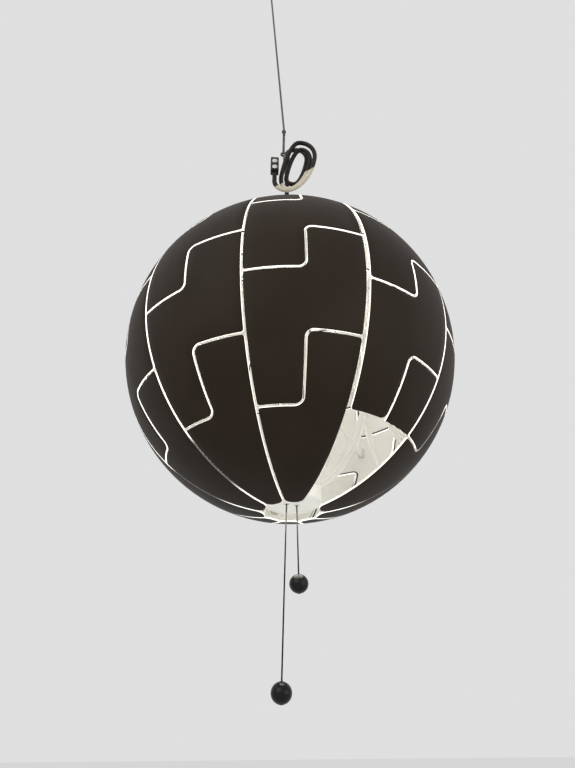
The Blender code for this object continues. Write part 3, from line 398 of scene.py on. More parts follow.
def polar(radius, latitude):
    """Distance from the axis and height."""
    angle = math.radians(latitude)
    return radius * math.cos(angle), radius * math.sin(angle)


def round_angles(count):
    return [2 * math.pi * k / count for k in range(count)]


def shaded(mesh, angle=SHARP_ANGLE):
    mesh.shade_smooth()
    mesh.set_sharp_from_angle(angle=math.radians(angle))
    return mesh


def with_slots(mesh, count):
    """The mesh with room for count materials."""
    while len(mesh.materials) < count:
        mesh.materials.append(None)
    return mesh


def finish_mesh(bm, name, angle=SHARP_ANGLE):
    """The closed bmesh as a mesh whose faces look outwards."""
    bmesh.ops.recalc_face_normals(bm, faces=bm.faces)
    mesh = bpy.data.meshes.new(name)
    bm.to_mesh(mesh)
    bm.free()
    return shaded(mesh, angle)


def evaluated(obj):
    """The object's mesh with its modifiers applied. The object is removed."""
    bpy.context.view_layer.update()
    graph = bpy.context.evaluated_depsgraph_get()
    mesh = bpy.data.meshes.new_from_object(obj.evaluated_get(graph))
    bpy.data.objects.remove(obj, do_unlink=True)
    return mesh


def helper(mesh):
    """An object for the mesh while modifiers work on it."""
    made = bpy.data.objects.new(mesh.name, mesh)
    bpy.context.scene.collection.objects.link(made)
    return made


def combined(base, steps):
    """base with each (operation, mesh) of steps applied to it."""
    start = helper(base)
    others = []
    for operation, mesh in steps:
        other = helper(mesh)
        cut = start.modifiers.new(operation, "BOOLEAN")
        cut.operation = operation
        cut.solver = "EXACT"
        cut.object = other
        others.append(other)
    mesh = evaluated(start)
    for other in others:
        bpy.data.objects.remove(other, do_unlink=True)
    return shaded(mesh)


def joined(name, meshes):
    """Several meshes as one, keeping their material numbers."""
    bm = bmesh.new()
    for mesh in meshes:
        bm.from_mesh(mesh)
    made = bpy.data.meshes.new(name)
    bm.to_mesh(made)
    bm.free()
    return shaded(made)


def piece(name, mesh, body, finishes, replaces=(), place=TO_GLOBE):
    """Puts a mesh in its place as a piece that rides on a body."""
    mesh = with_slots(mesh.copy(), len(finishes))
    mesh.transform(place)
    for number, finish in enumerate(finishes):
        mesh.materials[number] = finish
    made = bpy.data.objects.new(name, mesh)
    bpy.context.scene.collection.objects.link(made)
    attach(made, body)
    if replaces:
        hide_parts(*replaces)
    return made


def groove(radius, top, depth, slope, floor):
    """An outline's four points down a groove round a turned part, or a ridge if depth is below 0."""
    low = top - slope - floor
    return [(radius, top), (radius - depth, top - slope), (radius - depth, low), (radius, low - slope)]


def softened(profile, radius, steps=3):
    """The (radius, height) outline with its corners off the axis made round."""
    made = []
    count = len(profile)
    for index, (r, z) in enumerate(profile):
        if r < ON_AXIS:
            made.append((r, z))
            continue
        here = Vector((r, z))
        before = Vector(profile[index - 1]) - here
        after = Vector(profile[(index + 1) % count]) - here
        reach = min(radius, before.length * SIDE_SHARE, after.length * SIDE_SHARE)
        start = here + before.normalized() * reach
        end = here + after.normalized() * reach
        for step in range(steps + 1):
            t = step / steps
            point = start * (1 - t) ** 2 + here * 2 * t * (1 - t) + end * t**2
            made.append((point.x, point.y))
    return made


def turned(name, profile, segments=64):
    """A solid of revolution. The profile is closed, or both its ends lie on the axis."""
    bm = bmesh.new()
    rings = []
    for r, z in profile:
        if r < ON_AXIS:
            rings.append([bm.verts.new(vertical(z))] * segments)
        else:
            angles = round_angles(segments)
            rings.append([bm.verts.new((r * math.cos(a), r * math.sin(a), z)) for a in angles])
    closed = profile[0][0] > ON_AXIS or profile[-1][0] > ON_AXIS
    pairs = list(zip(rings, rings[1:])) + ([(rings[-1], rings[0])] if closed else [])
    for upper, lower in pairs:
        for k in range(segments):
            m = (k + 1) % segments
            corners = list(dict.fromkeys((upper[k], lower[k], lower[m], upper[m])))
            if len(corners) > 2:
                bm.faces.new(corners)
    return finish_mesh(bm, name)


def smooth_line(controls, count):
    """count points evenly spread along a smooth curve through the control points."""
    controls = [Vector(c) for c in controls]
    ends = [2 * controls[0] - controls[1], *controls, 2 * controls[-1] - controls[-2]]
    fine = []
    for before, start, end, after in zip(ends, ends[1:], ends[2:], ends[3:]):
        for step in range(CURVE_STEPS):
            t = step / CURVE_STEPS
            point = 2 * start + (end - before) * t
            point += (2 * before - 5 * start + 4 * end - after) * t * t
            point += (3 * start - before - 3 * end + after) * t**3
            fine.append(point / 2)
    fine.append(controls[-1])
    lengths = [0.0]
    for first, second in zip(fine, fine[1:]):
        lengths.append(lengths[-1] + (second - first).length)
    made, index = [], 0
    for number in range(count):
        target = lengths[-1] * number / (count - 1)
        while index < len(fine) - 2 and lengths[index + 1] < target:
            index += 1
        span = lengths[index + 1] - lengths[index]
        share = (target - lengths[index]) / span if span else 0.0
        made.append(fine[index].lerp(fine[index + 1], share))
    return made


def frames_along(points, closed=False):
    """(point, side, side) along a line, turning no more than the line does."""
    points = [Vector(p) for p in points]
    count = len(points)
    made = []
    side = None
    for index, point in enumerate(points):
        before = points[index - 1] if closed or index else point
        after = points[(index + 1) % count] if closed or index < count - 1 else point
        along = (after - before).normalized()
        if side is None:
            side = along.orthogonal().normalized()
        side = (side - along * side.dot(along)).normalized()
        made.append((point, side, along.cross(side)))
    return made


def skin(bm, lower, upper):
    """Faces between two rings of as many vertices."""
    count = len(lower)
    for k in range(count):
        m = (k + 1) % count
        bm.faces.new((lower[k], lower[m], upper[m], upper[k]))


def tube(name, points, radius, sides, closed=False):
    """A solid round bar along the points, with flat ends unless it is closed."""
    bm = bmesh.new()
    rings = []
    angles = round_angles(sides)
    for point, first, second in frames_along(points, closed):
        ring = [point + radius * (math.cos(a) * first + math.sin(a) * second) for a in angles]
        rings.append([bm.verts.new(place) for place in ring])
    pairs = list(zip(rings, rings[1:])) + ([(rings[-1], rings[0])] if closed else [])
    for lower, upper in pairs:
        skin(bm, lower, upper)
    if not closed:
        bm.faces.new(rings[0])
        bm.faces.new(rings[-1])
    return finish_mesh(bm, name, TUBE_SHARP_ANGLE)


def rod(name, start, end, radius, sides=24):
    return tube(name, [Vector(start), Vector(end)], radius, sides)


def block(name, size, bevel, place):
    """A box with rounded edges."""
    bm = bmesh.new()
    bmesh.ops.create_cube(bm, size=1.0)
    bmesh.ops.transform(bm, matrix=Matrix.Diagonal((*size, 1.0)), verts=bm.verts)
    bmesh.ops.bevel(
        bm,
        geom=bm.edges[:],
        offset=bevel,
        offset_type="OFFSET",
        segments=3,
        profile=0.5,
        affect="EDGES",
    )
    bmesh.ops.transform(bm, matrix=place, verts=bm.verts)
    return finish_mesh(bm, name)


# Panels, with half a seam as degrees of latitude
SEAM_TURN = math.degrees(SEAM / 2 / RADIUS)
ARC_STEPS_PER_METRE = 1400
# An outline's side that spans less of the column runs up it
LEVEL_SIDE_SHARE = 0.2
FLAT_MERGE = 1e-4
LEAST_STEP = 1e-4
EDGE_ANGLE = 50.0
# The way that the borders with dark strips of painted shade face, in the column's frame
STRIP_FACING = Vector((0.0, 1.0, -0.85))


class Column:
    """Maps a panel's flat outline, (share across the column, latitude), to the globe."""

    def __init__(self, left_gap, right_gap):
        self.gaps = (left_gap, right_gap)

    def half_width(self, share, latitude):
        return polar(RADIUS, latitude)[0] * HALF_COLUMN - self.gaps[share > 0.0]

    def place(self, share, latitude):
        ring, height = polar(RADIUS, latitude)
        angle = share * self.half_width(share, latitude) / ring
        return Vector((ring * math.cos(angle), ring * math.sin(angle), height))

    def rounded(self, corners):
        """The outline with each (share, latitude, radius) corner made an arc."""
        outline = []
        count = len(corners)
        for index, (share, latitude, radius) in enumerate(corners):
            if radius <= 0.0:
                outline.append((share, latitude))
                continue
            width = self.half_width(share if share else 1.0, latitude)
            here = Vector((share * width, math.radians(latitude) * RADIUS))
            towards = []
            for other, other_latitude, _ in (corners[index - 1], corners[(index + 1) % count]):
                step = Vector((other - share, other_latitude - latitude))
                level = abs(step.x) > LEVEL_SIDE_SHARE
                step = Vector((step.x, 0.0)) if level else Vector((0.0, step.y))
                towards.append(step.normalized())
            back, on = towards
            steps = max(3, round(radius * ARC_STEPS_PER_METRE))
            centre = here + radius * (back + on)
            for step in range(steps + 1):
                angle = math.pi / 2 * step / steps
                point = centre - radius * (math.cos(angle) * on + math.sin(angle) * back)
                outline.append((point.x / width, math.degrees(point.y / RADIUS)))
        return outline

    def shell(self, name, corners):
        """A panel of the wall's thickness: material 0 outside, 1 inside, 2 at its edge."""
        bm = bmesh.new()
        flat = [bm.verts.new((share, latitude, 0.0)) for share, latitude in self.rounded(corners)]
        bm.faces.new(flat)
        shares = [k / COLUMN_CUTS for k in range(-COLUMN_CUTS + 1, COLUMN_CUTS)]
        cuts = [((share, 0.0, 0.0), (1.0, 0.0, 0.0)) for share in shares]
        lines = int(TIP / LATITUDE_CUT)
        levels = [line * LATITUDE_CUT for line in range(-lines, lines + 1)]
        cuts += [((0.0, level, 0.0), (0.0, 1.0, 0.0)) for level in levels]
        for point, normal in cuts:
            everything = bm.verts[:] + bm.edges[:] + bm.faces[:]
            bmesh.ops.bisect_plane(bm, geom=everything, plane_co=point, plane_no=normal)
        bmesh.ops.remove_doubles(bm, verts=bm.verts, dist=FLAT_MERGE)
        bmesh.ops.triangulate(bm, faces=[face for face in bm.faces if len(face.verts) > 4])
        for vertex in bm.verts:
            vertex.co = self.place(vertex.co.x, vertex.co.y)
        bmesh.ops.recalc_face_normals(bm, faces=bm.faces)
        if sum(face.normal.dot(face.calc_center_median()) for face in bm.faces) < 0.0:
            bmesh.ops.reverse_faces(bm, faces=bm.faces)
        mesh = bpy.data.meshes.new(name)
        bm.to_mesh(mesh)
        bm.free()
        mesh.shade_smooth()
        surface = helper(mesh)
        wall = surface.modifiers.new("wall", "SOLIDIFY")
        wall.thickness = WALL
        wall.offset = -1.0
        edge = surface.modifiers.new("edge", "BEVEL")
        edge.width = EDGE_BEVEL
        edge.segments = 2
        edge.limit_method = "ANGLE"
        edge.angle_limit = math.radians(EDGE_ANGLE)
        edge.harden_normals = True
        mesh = with_slots(evaluated(surface), 3)
        mesh.name = name
        for face in mesh.polygons:
            facing = face.normal.dot(face.center.normalized())
            if facing > FACE_ON or -FACE_ON < facing < -EDGE_ON:
                face.material_index = 0
            elif facing < -EDGE_ON:
                face.material_index = 1
            else:
                face.material_index = 2
        return mesh


def border(shape, corners):
    """The panel's border as close points on the globe."""
    outline = shape.rounded(corners)
    points = []
    for index, (share, latitude) in enumerate(outline):
        before_share, before_latitude = outline[index - 1]
        cuts = max(
            1,
            round(abs(share - before_share) * COLUMN_CUTS),
            round(abs(latitude - before_latitude) / LATITUDE_CUT),
        )
        for cut in range(1, cuts + 1):
            done = cut / cuts
            point = shape.place(
                before_share + (share - before_share) * done,
                before_latitude + (latitude - before_latitude) * done,
            )
            if not points or (point - points[-1]).length > LEAST_STEP:
                points.append(point)
    return points


def seam_shade_strips(name, shape, corners, side):
    """Thin dark strips of painted shade along the borders that face right or down, or left or up if
    side is -1: they stand in for the dark seams seen from inside.
    """
    points = border(shape, corners)
    count = len(points)
    middle = sum(points, Vector()) / count
    turning = sum((points[k - 1] - middle).cross(points[k] - middle).dot(middle) for k in range(count))
    hand = 1.0 if turning > 0.0 else -1.0
    inward = []
    for index, point in enumerate(points):
        along = points[(index + 1) % count] - points[index - 1]
        inward.append((point.normalized().cross(along) * hand).normalized())
    kept = [side * way.dot(STRIP_FACING) < 0.0 for way in inward]
    bm = bmesh.new()
    low, high = RADIUS - WALL + STRIP_SUNK, RADIUS - WALL - STRIP_PROUD
    near, far = STRIP_IN, STRIP_IN + STRIP_WIDE
    rings = []
    for point, way in zip(points, inward):
        out = point.normalized()
        section = ((near, low), (far, low), (far, high), (near, high))
        rings.append([bm.verts.new(out * level + way * reach) for reach, level in section])
    for index in range(count):
        if not (kept[index - 1] and kept[index]):
            continue
        lower, upper = rings[index - 1], rings[index]
        skin(bm, lower, upper)
        if not kept[index - 2]:
            bm.faces.new(lower)
        if not kept[(index + 1) % count]:
            bm.faces.new(upper)
    loose = [vertex for vertex in bm.verts if not vertex.link_faces]
    bmesh.ops.delete(bm, geom=loose, context="VERTS")
    return with_slots(finish_mesh(bm, name), 3)


def step_share(latitude):
    """Half a seam beside the column's middle line, as a share of its half width."""
    return SEAM / 2 / (polar(RADIUS, latitude)[0] * HALF_COLUMN)


def panel_corners():
    """Upper panel: its left half reaches down past the middle, its right half up towards the tip."""
    low, high = -MIDDLE_STEP + SEAM_TURN, MIDDLE_STEP + SEAM_TURN
    top_low, top_high = STEP_LOW - SEAM_TURN, STEP_HIGH - SEAM_TURN
    inner = step_share(0.0)
    outer = step_share((top_low + top_high) / 2)
    return [
        (-1.0, low, JOINT_CORNER),
        (-inner, low, STEP_CORNER),
        (-inner, high, STEP_CORNER + SEAM),
        (1.0, high, JOINT_CORNER),
        (1.0, top_high, JOINT_CORNER),
        (outer, top_high, STEP_CORNER),
        (outer, top_low, STEP_CORNER + SEAM),
        (-1.0, top_low, JOINT_CORNER),
    ]


def petal_corners():
    """Lower petal: the tip, and a tongue that rises beside the lower panel in its right half."""
    low, high = -STEP_HIGH - SEAM_TURN, -STEP_LOW - SEAM_TURN
    inner = step_share((low + high) / 2)
    return [
        (-1.0, -TIP, TIP_CORNER),
        (1.0, -TIP, TIP_CORNER),
        (1.0, high, JOINT_CORNER),
        (inner, high, STEP_CORNER),
        (inner, low, STEP_CORNER + SEAM),
        (-1.0, low, JOINT_CORNER),
    ]


# The snapped edge of the tongue: share across from its inner side, degrees from the break's line
SNAPPED_SHARES = (
    (0.08, 0.10),
    (0.20, -0.06),
    (0.32, 0.08),
    (0.45, -0.10),
    (0.60, 0.05),
    (0.74, -0.08),
    (0.90, 0.06),
)


def tongue_corners():
    """What the broken petal leaves on its arm: the tongue, with a ragged lower edge."""
    corners = petal_corners()
    inner = corners[3][0]
    ragged = [
        (inner + (1.0 - inner) * share, -STEP_HIGH + offset, 0.0) for share, offset in SNAPPED_SHARES
    ]
    ends = [(inner, -STEP_HIGH, 0.0), *ragged, (1.0, -STEP_HIGH, 0.0)]
    return [*ends, corners[2], corners[3]]


# Arms, with the hub's pivot and the crossing as in the CAD model
PIVOT_RADIUS = 0.024
PIVOT_HEIGHT = 0.148
ARM_OFFSET = 0.005
ARM_THICKNESS = 0.0038
ARM_DEPTH = 0.0068
ARM_FOOT_DEPTH = 0.0118
ARM_GROOVE = 0.0007
ARM_RIM = 0.0014
ARM_BEVEL = 0.0005
ARM_POINTS = 40
# No point of an arm lies further out than this, within the panels' wall
ARM_REACH = RADIUS - WALL * 0.6
FOOT_LATITUDE = 44.0
FOOT_REACH = RADIUS - WALL * 0.75
FOOT_SHARE = 0.88
EYE_END_SHARE = 0.8
STRUT_LATITUDE = 16.5
STRUT_ROOT_SHARES = (0.515, 0.150)
STRUT_MIDDLE_SHARE = 0.72
STRUT_ROOT_DEPTH = 0.013
STRUT_END_DEPTH = 0.008
STRUT_THICKNESS = 0.0032
STRUT_GROOVE = 0.0005
STRUT_POINTS = 8
CROSSING_SHARE = 0.5314
CROSSING_HOLE = 0.0040
CROSSING_BOSS = 0.0070
PIN_RADIUS = 0.0014
PIN_ROOT_RADIUS = 0.0026
PIN_ROOT_PROUD = 0.0004
PIN_SIDES = 32
EYE_RADIUS = 0.0034
EYE_HOLE = 0.0013
HALF_BOSS = 0.0021
OVERRUN = 0.001
LUG_DEPTH = 0.006
LUG_THICKNESS = 0.0015
LUG_LENGTH = 0.012
LUG_BEVEL = 0.0004
LUG_SINK_SHARE = 0.65
LUG_PLACE = 0.0017 + FAIR_GAP + LUG_THICKNESS / 2
LUG_PIN_RADIUS = 0.0009
LUG_PIN_HALF_LENGTH = 0.0037
# The rib's middle line: radius and height as shares of the globe's radius
RIB_SHARES = (
    (0.225, 0.775),
    (0.340, 0.640),
    (0.440, 0.440),
    (0.505, 0.220),
    (CROSSING_SHARE, 0.000),
    (0.532, -0.140),
    (0.534, -0.270),
    (0.543, -0.385),
    (0.565, -0.475),
    (0.600, -0.580),
    (0.650, -0.650),
)


def bar(name, line, depths, thickness, dip):
    """A grooved flat bar in the arm's plane, along (radius, height) points."""
    bm = bmesh.new()
    line = [Vector(point) for point in line]
    half = thickness / 2
    rings = []
    for index, (point, depth) in enumerate(zip(line, depths)):
        before, after = line[max(index - 1, 0)], line[min(index + 1, len(line) - 1)]
        along = (after - before).normalized()
        across = Vector((-along.y, along.x))
        outer = depth / 2
        rim = outer - ARM_RIM
        quarter = [
            (outer, half - ARM_BEVEL),
            (outer - ARM_BEVEL, half),
            (rim, half),
            (rim - dip, half - dip),
        ]
        right = quarter + [(-s, t) for s, t in quarter[::-1]]
        section = right + [(-s, -t) for s, t in right]
        ring = []
        for s, t in section:
            place = point + across * s
            corner = Vector((place.x, ARM_OFFSET + t, place.y))
            if corner.length > ARM_REACH:
                corner *= ARM_REACH / corner.length
            ring.append(bm.verts.new(corner))
        rings.append(ring)
    for lower, upper in zip(rings, rings[1:]):
        skin(bm, lower, upper)
    bm.faces.new(rings[0])
    bm.faces.new(rings[-1])
    return finish_mesh(bm, name, BAR_SHARP_ANGLE)


def arm_mesh(name, has_pin):
    """Rib from the hub's wire to the petal, strut to the panel, and the crossing."""
    pivot = (PIVOT_RADIUS, PIVOT_HEIGHT)
    crossing = (CROSSING_SHARE * RADIUS, 0.0)
    rib = [(r * RADIUS, z * RADIUS) for r, z in RIB_SHARES]
    line = smooth_line([pivot, *rib, polar(FOOT_REACH, -FOOT_LATITUDE)], ARM_POINTS)
    depths = []
    for number in range(ARM_POINTS):
        share = number / (ARM_POINTS - 1)
        depth = ARM_DEPTH * min(1.0, EYE_END_SHARE + share * 2)
        swell = max(0.0, (share - FOOT_SHARE) / (1.0 - FOOT_SHARE))
        depths.append(depth + (ARM_FOOT_DEPTH - ARM_DEPTH) * swell * swell)
    strut = [
        [share * RADIUS for share in STRUT_ROOT_SHARES],
        polar(STRUT_MIDDLE_SHARE * RADIUS, STRUT_LATITUDE),
        polar(RADIUS - WALL - FAIR_GAP / 2, STRUT_LATITUDE),
    ]
    narrowing = (STRUT_ROOT_DEPTH - STRUT_END_DEPTH) / (STRUT_POINTS - 1)
    strut_depths = [STRUT_ROOT_DEPTH - narrowing * k for k in range(STRUT_POINTS)]
    strut_line = smooth_line(strut, STRUT_POINTS)
    low, high = ARM_OFFSET - HALF_BOSS, ARM_OFFSET + HALF_BOSS

    def across(label, radius, place, start, end):
        ends = [(place[0], y, place[1]) for y in (start, end)]
        return rod(f"{name}_{label}", *ends, radius, PIN_SIDES)

    steps = [
        ("UNION", bar(f"{name}_strut", strut_line, strut_depths, STRUT_THICKNESS, STRUT_GROOVE)),
        ("UNION", across("eye", EYE_RADIUS, pivot, low, high)),
    ]
    if has_pin:
        root_end, pin_end = low - PIN_ROOT_PROUD, -ARM_OFFSET - HALF_BOSS - OVERRUN
        steps += [
            ("UNION", across("pin_root", PIN_ROOT_RADIUS, crossing, ARM_OFFSET, root_end)),
            ("UNION", across("pin", PIN_RADIUS, crossing, pin_end, ARM_OFFSET)),
        ]
    else:
        steps += [
            ("UNION", across("boss", CROSSING_BOSS, crossing, low, high)),
            ("DIFFERENCE", across("bore", CROSSING_HOLE, crossing, low - OVERRUN, high + OVERRUN)),
        ]
    steps.append(("DIFFERENCE", across("eye_bore", EYE_HOLE, pivot, low - OVERRUN, high + OVERRUN)))
    return combined(bar(f"{name}_rib", line, depths, ARM_THICKNESS, ARM_GROOVE), steps)


def clip_meshes():
    """The two lugs that hold a strut's end, and the pin through them."""
    tilt = Matrix.Rotation(-math.radians(STRUT_LATITUDE), 4, "Y")
    bottom = RADIUS - WALL - LUG_DEPTH
    top = RADIUS - WALL * (1.0 - LUG_SINK_SHARE)
    size = (top - bottom, LUG_THICKNESS, LUG_LENGTH)
    meshes = []
    for side in (-1, 1):
        middle = ARM_OFFSET + side * LUG_PLACE
        place = tilt @ Matrix.Translation(((top + bottom) / 2, middle, 0.0))
        meshes.append(block("lug", size, LUG_BEVEL, place))
    x, z = polar((RADIUS - WALL + bottom) / 2, STRUT_LATITUDE)
    ends = [(x, ARM_OFFSET + side * LUG_PIN_HALF_LENGTH, z) for side in (-1, 1)]
    meshes.append(rod("lug_pin", *ends, LUG_PIN_RADIUS, 16))
    return meshes


def seam_gaps(column):
    """Half the seam at a column's left and right border."""
    left = WIDE_SEAM if column == (WIDE_SEAM_COLUMN + 1) % COLUMNS else SEAM
    right = WIDE_SEAM if column == WIDE_SEAM_COLUMN else SEAM
    return left / 2, right / 2


def make_columns():
    arms = {True: arm_mesh("lower_arm", True), False: arm_mesh("upper_arm", False)}
    clips = clip_meshes()
    for clip in clips:
        with_slots(clip, 2)
        for face in clip.polygons:
            face.material_index = 1
    shells = {}
    for column in range(COLUMNS):
        left, right = seam_gaps(column)
        number = f"{column + 1:02d}"
        for petal, panel, upside_down in (("lower", "upper", False), ("upper", "lower", True)):
            gaps = (right, left) if upside_down else (left, right)
            broken = column == BROKEN_COLUMN and not upside_down
            kind = (gaps, broken, upside_down)
            if kind not in shells:
                shape = Column(*gaps)
                outlines = (tongue_corners() if broken else petal_corners(), panel_corners())
                walls = [shape.shell("wall", outline) for outline in outlines]
                side = -1 if upside_down else 1
                # Strips of painted shade stand in for the seams' dark look from inside
                strips = [seam_shade_strips("seam_shade_strips", shape, outline, side) for outline in outlines]
                shells[kind] = (
                    joined("petal", [walls[0], strips[0]]),
                    joined("panel", [walls[1], strips[1], *clips]),
                )
            petal_mesh, panel_mesh = shells[kind]
            angle = math.radians(FRONT_ANGLE + column * 360.0 / COLUMNS - 90.0)
            place = TO_GLOBE @ Matrix.Rotation(angle, 4, "Z")
            if upside_down:
                place = place @ Matrix.Rotation(math.pi, 4, "X")
            body = f"{petal}_petal_{number}"
            skins = (OUTSIDE, INSIDE, EDGE)
            name, nodes = f"{petal}_petal_shell_{number}", (f"{petal}_petal_arm_{number}",)
            piece(name, petal_mesh, body, skins, nodes, place)
            arm = arms[not upside_down]
            piece(f"{petal}_arm_{number}", arm, body, (ARM_WHITE,), (), place)
            name, nodes = f"{panel}_panel_shell_{number}", (f"{panel}_panel_{number}",)
            piece(name, panel_mesh, body, skins, nodes, place)


# Middle parts. A groove's or thread's three numbers are its depth, slope and floor.
HUB_HALF_THICKNESS = 0.0044
HUB_TOP = PIVOT_HEIGHT + HUB_HALF_THICKNESS
HOUSING_BASE = HUB_TOP + FAIR_GAP
HOUSING_RADIUS = 0.019
HOUSING_WALL = 0.0016
HOUSING_HEIGHT = 0.010
HOUSING_DOME_HEIGHT = 0.007
HOUSING_GROOVE = (0.0006, 0.0004, 0.0006)
RELIEF_BASE_RADIUS = 0.0075
RELIEF_TIP_RADIUS = 0.0047
RELIEF_BORE_RADIUS = 0.0033
RELIEF_LENGTH = 0.025
RELIEF_RINGS = 6
# One ring of the strain relief: share down its pitch, and depth below the cone
RELIEF_RING = ((0.0, 0.0), (0.55, 0.0), (0.62, 0.0007), (0.93, 0.0007))
HOLDER_RADIUS = 0.015
HOLDER_WALL = 0.0014
HOLDER_LENGTH = 0.040
HOLDER_FLANGE_RADIUS = 0.017
HOLDER_FLANGE_HEIGHT = 0.002
HOLDER_HOLE_RADIUS = 0.004
HOLDER_GROOVES = 5
HOLDER_GROOVE = (0.0004, 0.0006, 0.0012)
BULB_RADIUS = 0.030
BULB_SHOULDER_LENGTH = 0.030
BULB_NECK_LENGTH = 0.014
BULB_NECK_RADIUS = 0.0128
BULB_STEPS = 12
CAP_LENGTH = 0.027
CAP_RADIUS = 0.0129
CAP_THREAD_ROOT = 0.0121
CAP_TURNS = 5
CAP_THREAD = (-0.0010, 0.0009, 0.0005)


def make_housing():
    shoulder = HOUSING_BASE + HOUSING_HEIGHT
    dome = shoulder + HOUSING_DOME_HEIGHT
    inner = HOUSING_RADIUS - HOUSING_WALL
    outline = [
        (RELIEF_BASE_RADIUS, dome - 0.0004),
        (0.0135, dome - 0.0018),
        (0.0175, dome - 0.0045),
        (HOUSING_RADIUS, shoulder),
        *groove(HOUSING_RADIUS, HOUSING_BASE + 0.0022, *HOUSING_GROOVE),
        (HOUSING_RADIUS, HOUSING_BASE),
        (inner, HOUSING_BASE),
        (inner, shoulder - 0.001),
        (0.0120, dome - 0.0036),
        (RELIEF_BORE_RADIUS, dome - 0.0020),
        (RELIEF_BORE_RADIUS, dome - 0.0004),
    ]
    mesh = turned("top_housing", softened(outline, 0.0008))
    piece("top_housing_cap", mesh, "frame", (HOUSING_WHITE,), ("top_housing",))
    tip = dome + RELIEF_LENGTH
    pitch = (RELIEF_LENGTH - 0.004) / RELIEF_RINGS
    outline = [(RELIEF_BORE_RADIUS, tip), (RELIEF_TIP_RADIUS, tip)]
    for ring in range(RELIEF_RINGS):
        for share, depth in RELIEF_RING:
            down = 0.0022 + (ring + share) * pitch
            widening = (RELIEF_BASE_RADIUS - RELIEF_TIP_RADIUS) * down / RELIEF_LENGTH
            outline.append((RELIEF_TIP_RADIUS + widening - depth, tip - down))
    outline += [
        (RELIEF_BASE_RADIUS, dome + 0.0008),
        (0.0086, dome - 0.0002),
        (RELIEF_BORE_RADIUS, dome - 0.0002),
    ]
    mesh = turned("strain_relief", softened(outline, 0.0003, 2), 48)
    piece("strain_relief", mesh, "frame", (HOUSING_WHITE,))


def make_lampholder():
    top = HOUSING_BASE + HOLDER_FLANGE_HEIGHT
    bottom = top - HOLDER_LENGTH
    inner, roof = HOLDER_RADIUS - HOLDER_WALL, HOUSING_BASE - HOLDER_WALL
    outline = [
        (HOLDER_HOLE_RADIUS, top),
        (HOLDER_FLANGE_RADIUS, top),
        (HOLDER_FLANGE_RADIUS, HOUSING_BASE),
        (HOLDER_RADIUS, HOUSING_BASE),
    ]
    for ring in range(HOLDER_GROOVES):
        z = HOUSING_BASE - 0.012 - ring * 0.0042
        outline += groove(HOLDER_RADIUS, z, *HOLDER_GROOVE)
    outline += [(HOLDER_RADIUS, bottom), (inner, bottom), (inner, roof), (HOLDER_HOLE_RADIUS, roof)]
    mesh = turned("lampholder", softened(outline, 0.0005, 2))
    piece("lampholder_sleeve", mesh, "frame", (HOLDER_WHITE,), ("lampholder",))


def make_bulb():
    top = HOUSING_BASE - HOLDER_WALL - FAIR_GAP
    cap_end = top - CAP_LENGTH
    neck = cap_end - 0.001
    belly = cap_end - BULB_NECK_LENGTH - BULB_SHOULDER_LENGTH
    glass = [(0.0, cap_end + 0.0015), (0.0125, cap_end + 0.0015), (0.0125, neck)]
    for step in range(BULB_STEPS + 1):
        share = step / BULB_STEPS
        swell = 0.5 - 0.5 * math.cos(math.pi * share)
        wide = BULB_NECK_RADIUS + (BULB_RADIUS - BULB_NECK_RADIUS) * swell
        glass.append((wide, neck - (neck - belly) * share))
    for step in range(1, BULB_STEPS + 2):
        angle = math.pi / 2 * step / (BULB_STEPS + 2)
        glass.append((BULB_RADIUS * math.cos(angle), belly - BULB_RADIUS * math.sin(angle)))
    glass.append((0.0, belly - BULB_RADIUS))
    mesh = turned("bulb_glass", glass)
    piece("bulb_glass", mesh, "frame", (BULB_LIT,), ("bulb",))
    cap = [(0.0, top), (0.004, top), (0.005, top - 0.0015), (0.0095, top - 0.0025)]
    cap.append((0.0118, top - 0.0040))
    for ring in range(CAP_TURNS):
        cap += groove(CAP_THREAD_ROOT, top - 0.0055 - ring * 0.0036, *CAP_THREAD)
    cap += [(CAP_RADIUS, cap_end + 0.001), (CAP_RADIUS, cap_end), (0.0, cap_end)]
    mesh = turned("bulb_cap", softened(cap, 0.0004, 2), 48)
    piece("bulb_cap", mesh, "frame", (BULB_CAP,))


# The bottom: cup, drum and lift lines
LIFT_ANGLE = 22.9
LIFT_RADIUS = 0.042
LIFT_LINE_RADIUS = 0.0005
LIFT_LINE_PITCH = 0.0028
SPOOL_RADIUS = 0.0026
SPOOL_FLANGE_RADIUS = 0.0045
SPOOL_HALF_WIDTH = 0.0025
FLANGE_THICKNESS = 0.001
AXLE_RADIUS = 0.0015
AXLE_DROP = 0.0085
AXLE_HEIGHT = -PIVOT_HEIGHT - AXLE_DROP
DRUM_CORE_RADIUS = 0.0042
DRUM_FLANGE_RADIUS = 0.0063
DRUM_HALF_WIDTH = 0.005
STRING_OFFSET = 0.00525
CUP_RADIUS = 0.029
CUP_WALL = 0.0016
CUP_DEPTH = 0.0125
CUP_TOP = -HUB_TOP - FAIR_GAP
CUP_BOTTOM = CUP_TOP - CUP_DEPTH
CUP_HOLE_RADIUS = 0.0018
CUP_GROOVE = (0.0004, 0.0004, 0.0006)
EYELET_RADIUS = 0.0021
EYELET_WIRE_RADIUS = 0.0005


def lift_turn():
    """Turns +X to the drum's axis."""
    return Matrix.Rotation(math.radians(LIFT_ANGLE) - math.pi / 2, 4, "Z")


def lift_across():
    angle = math.radians(LIFT_ANGLE)
    return Vector((math.cos(angle), math.sin(angle), 0.0))


def cup_hole(side):
    """Where a string leaves the cup, on one side of the drum or the other."""
    return side * STRING_OFFSET * lift_across() + vertical(CUP_BOTTOM)


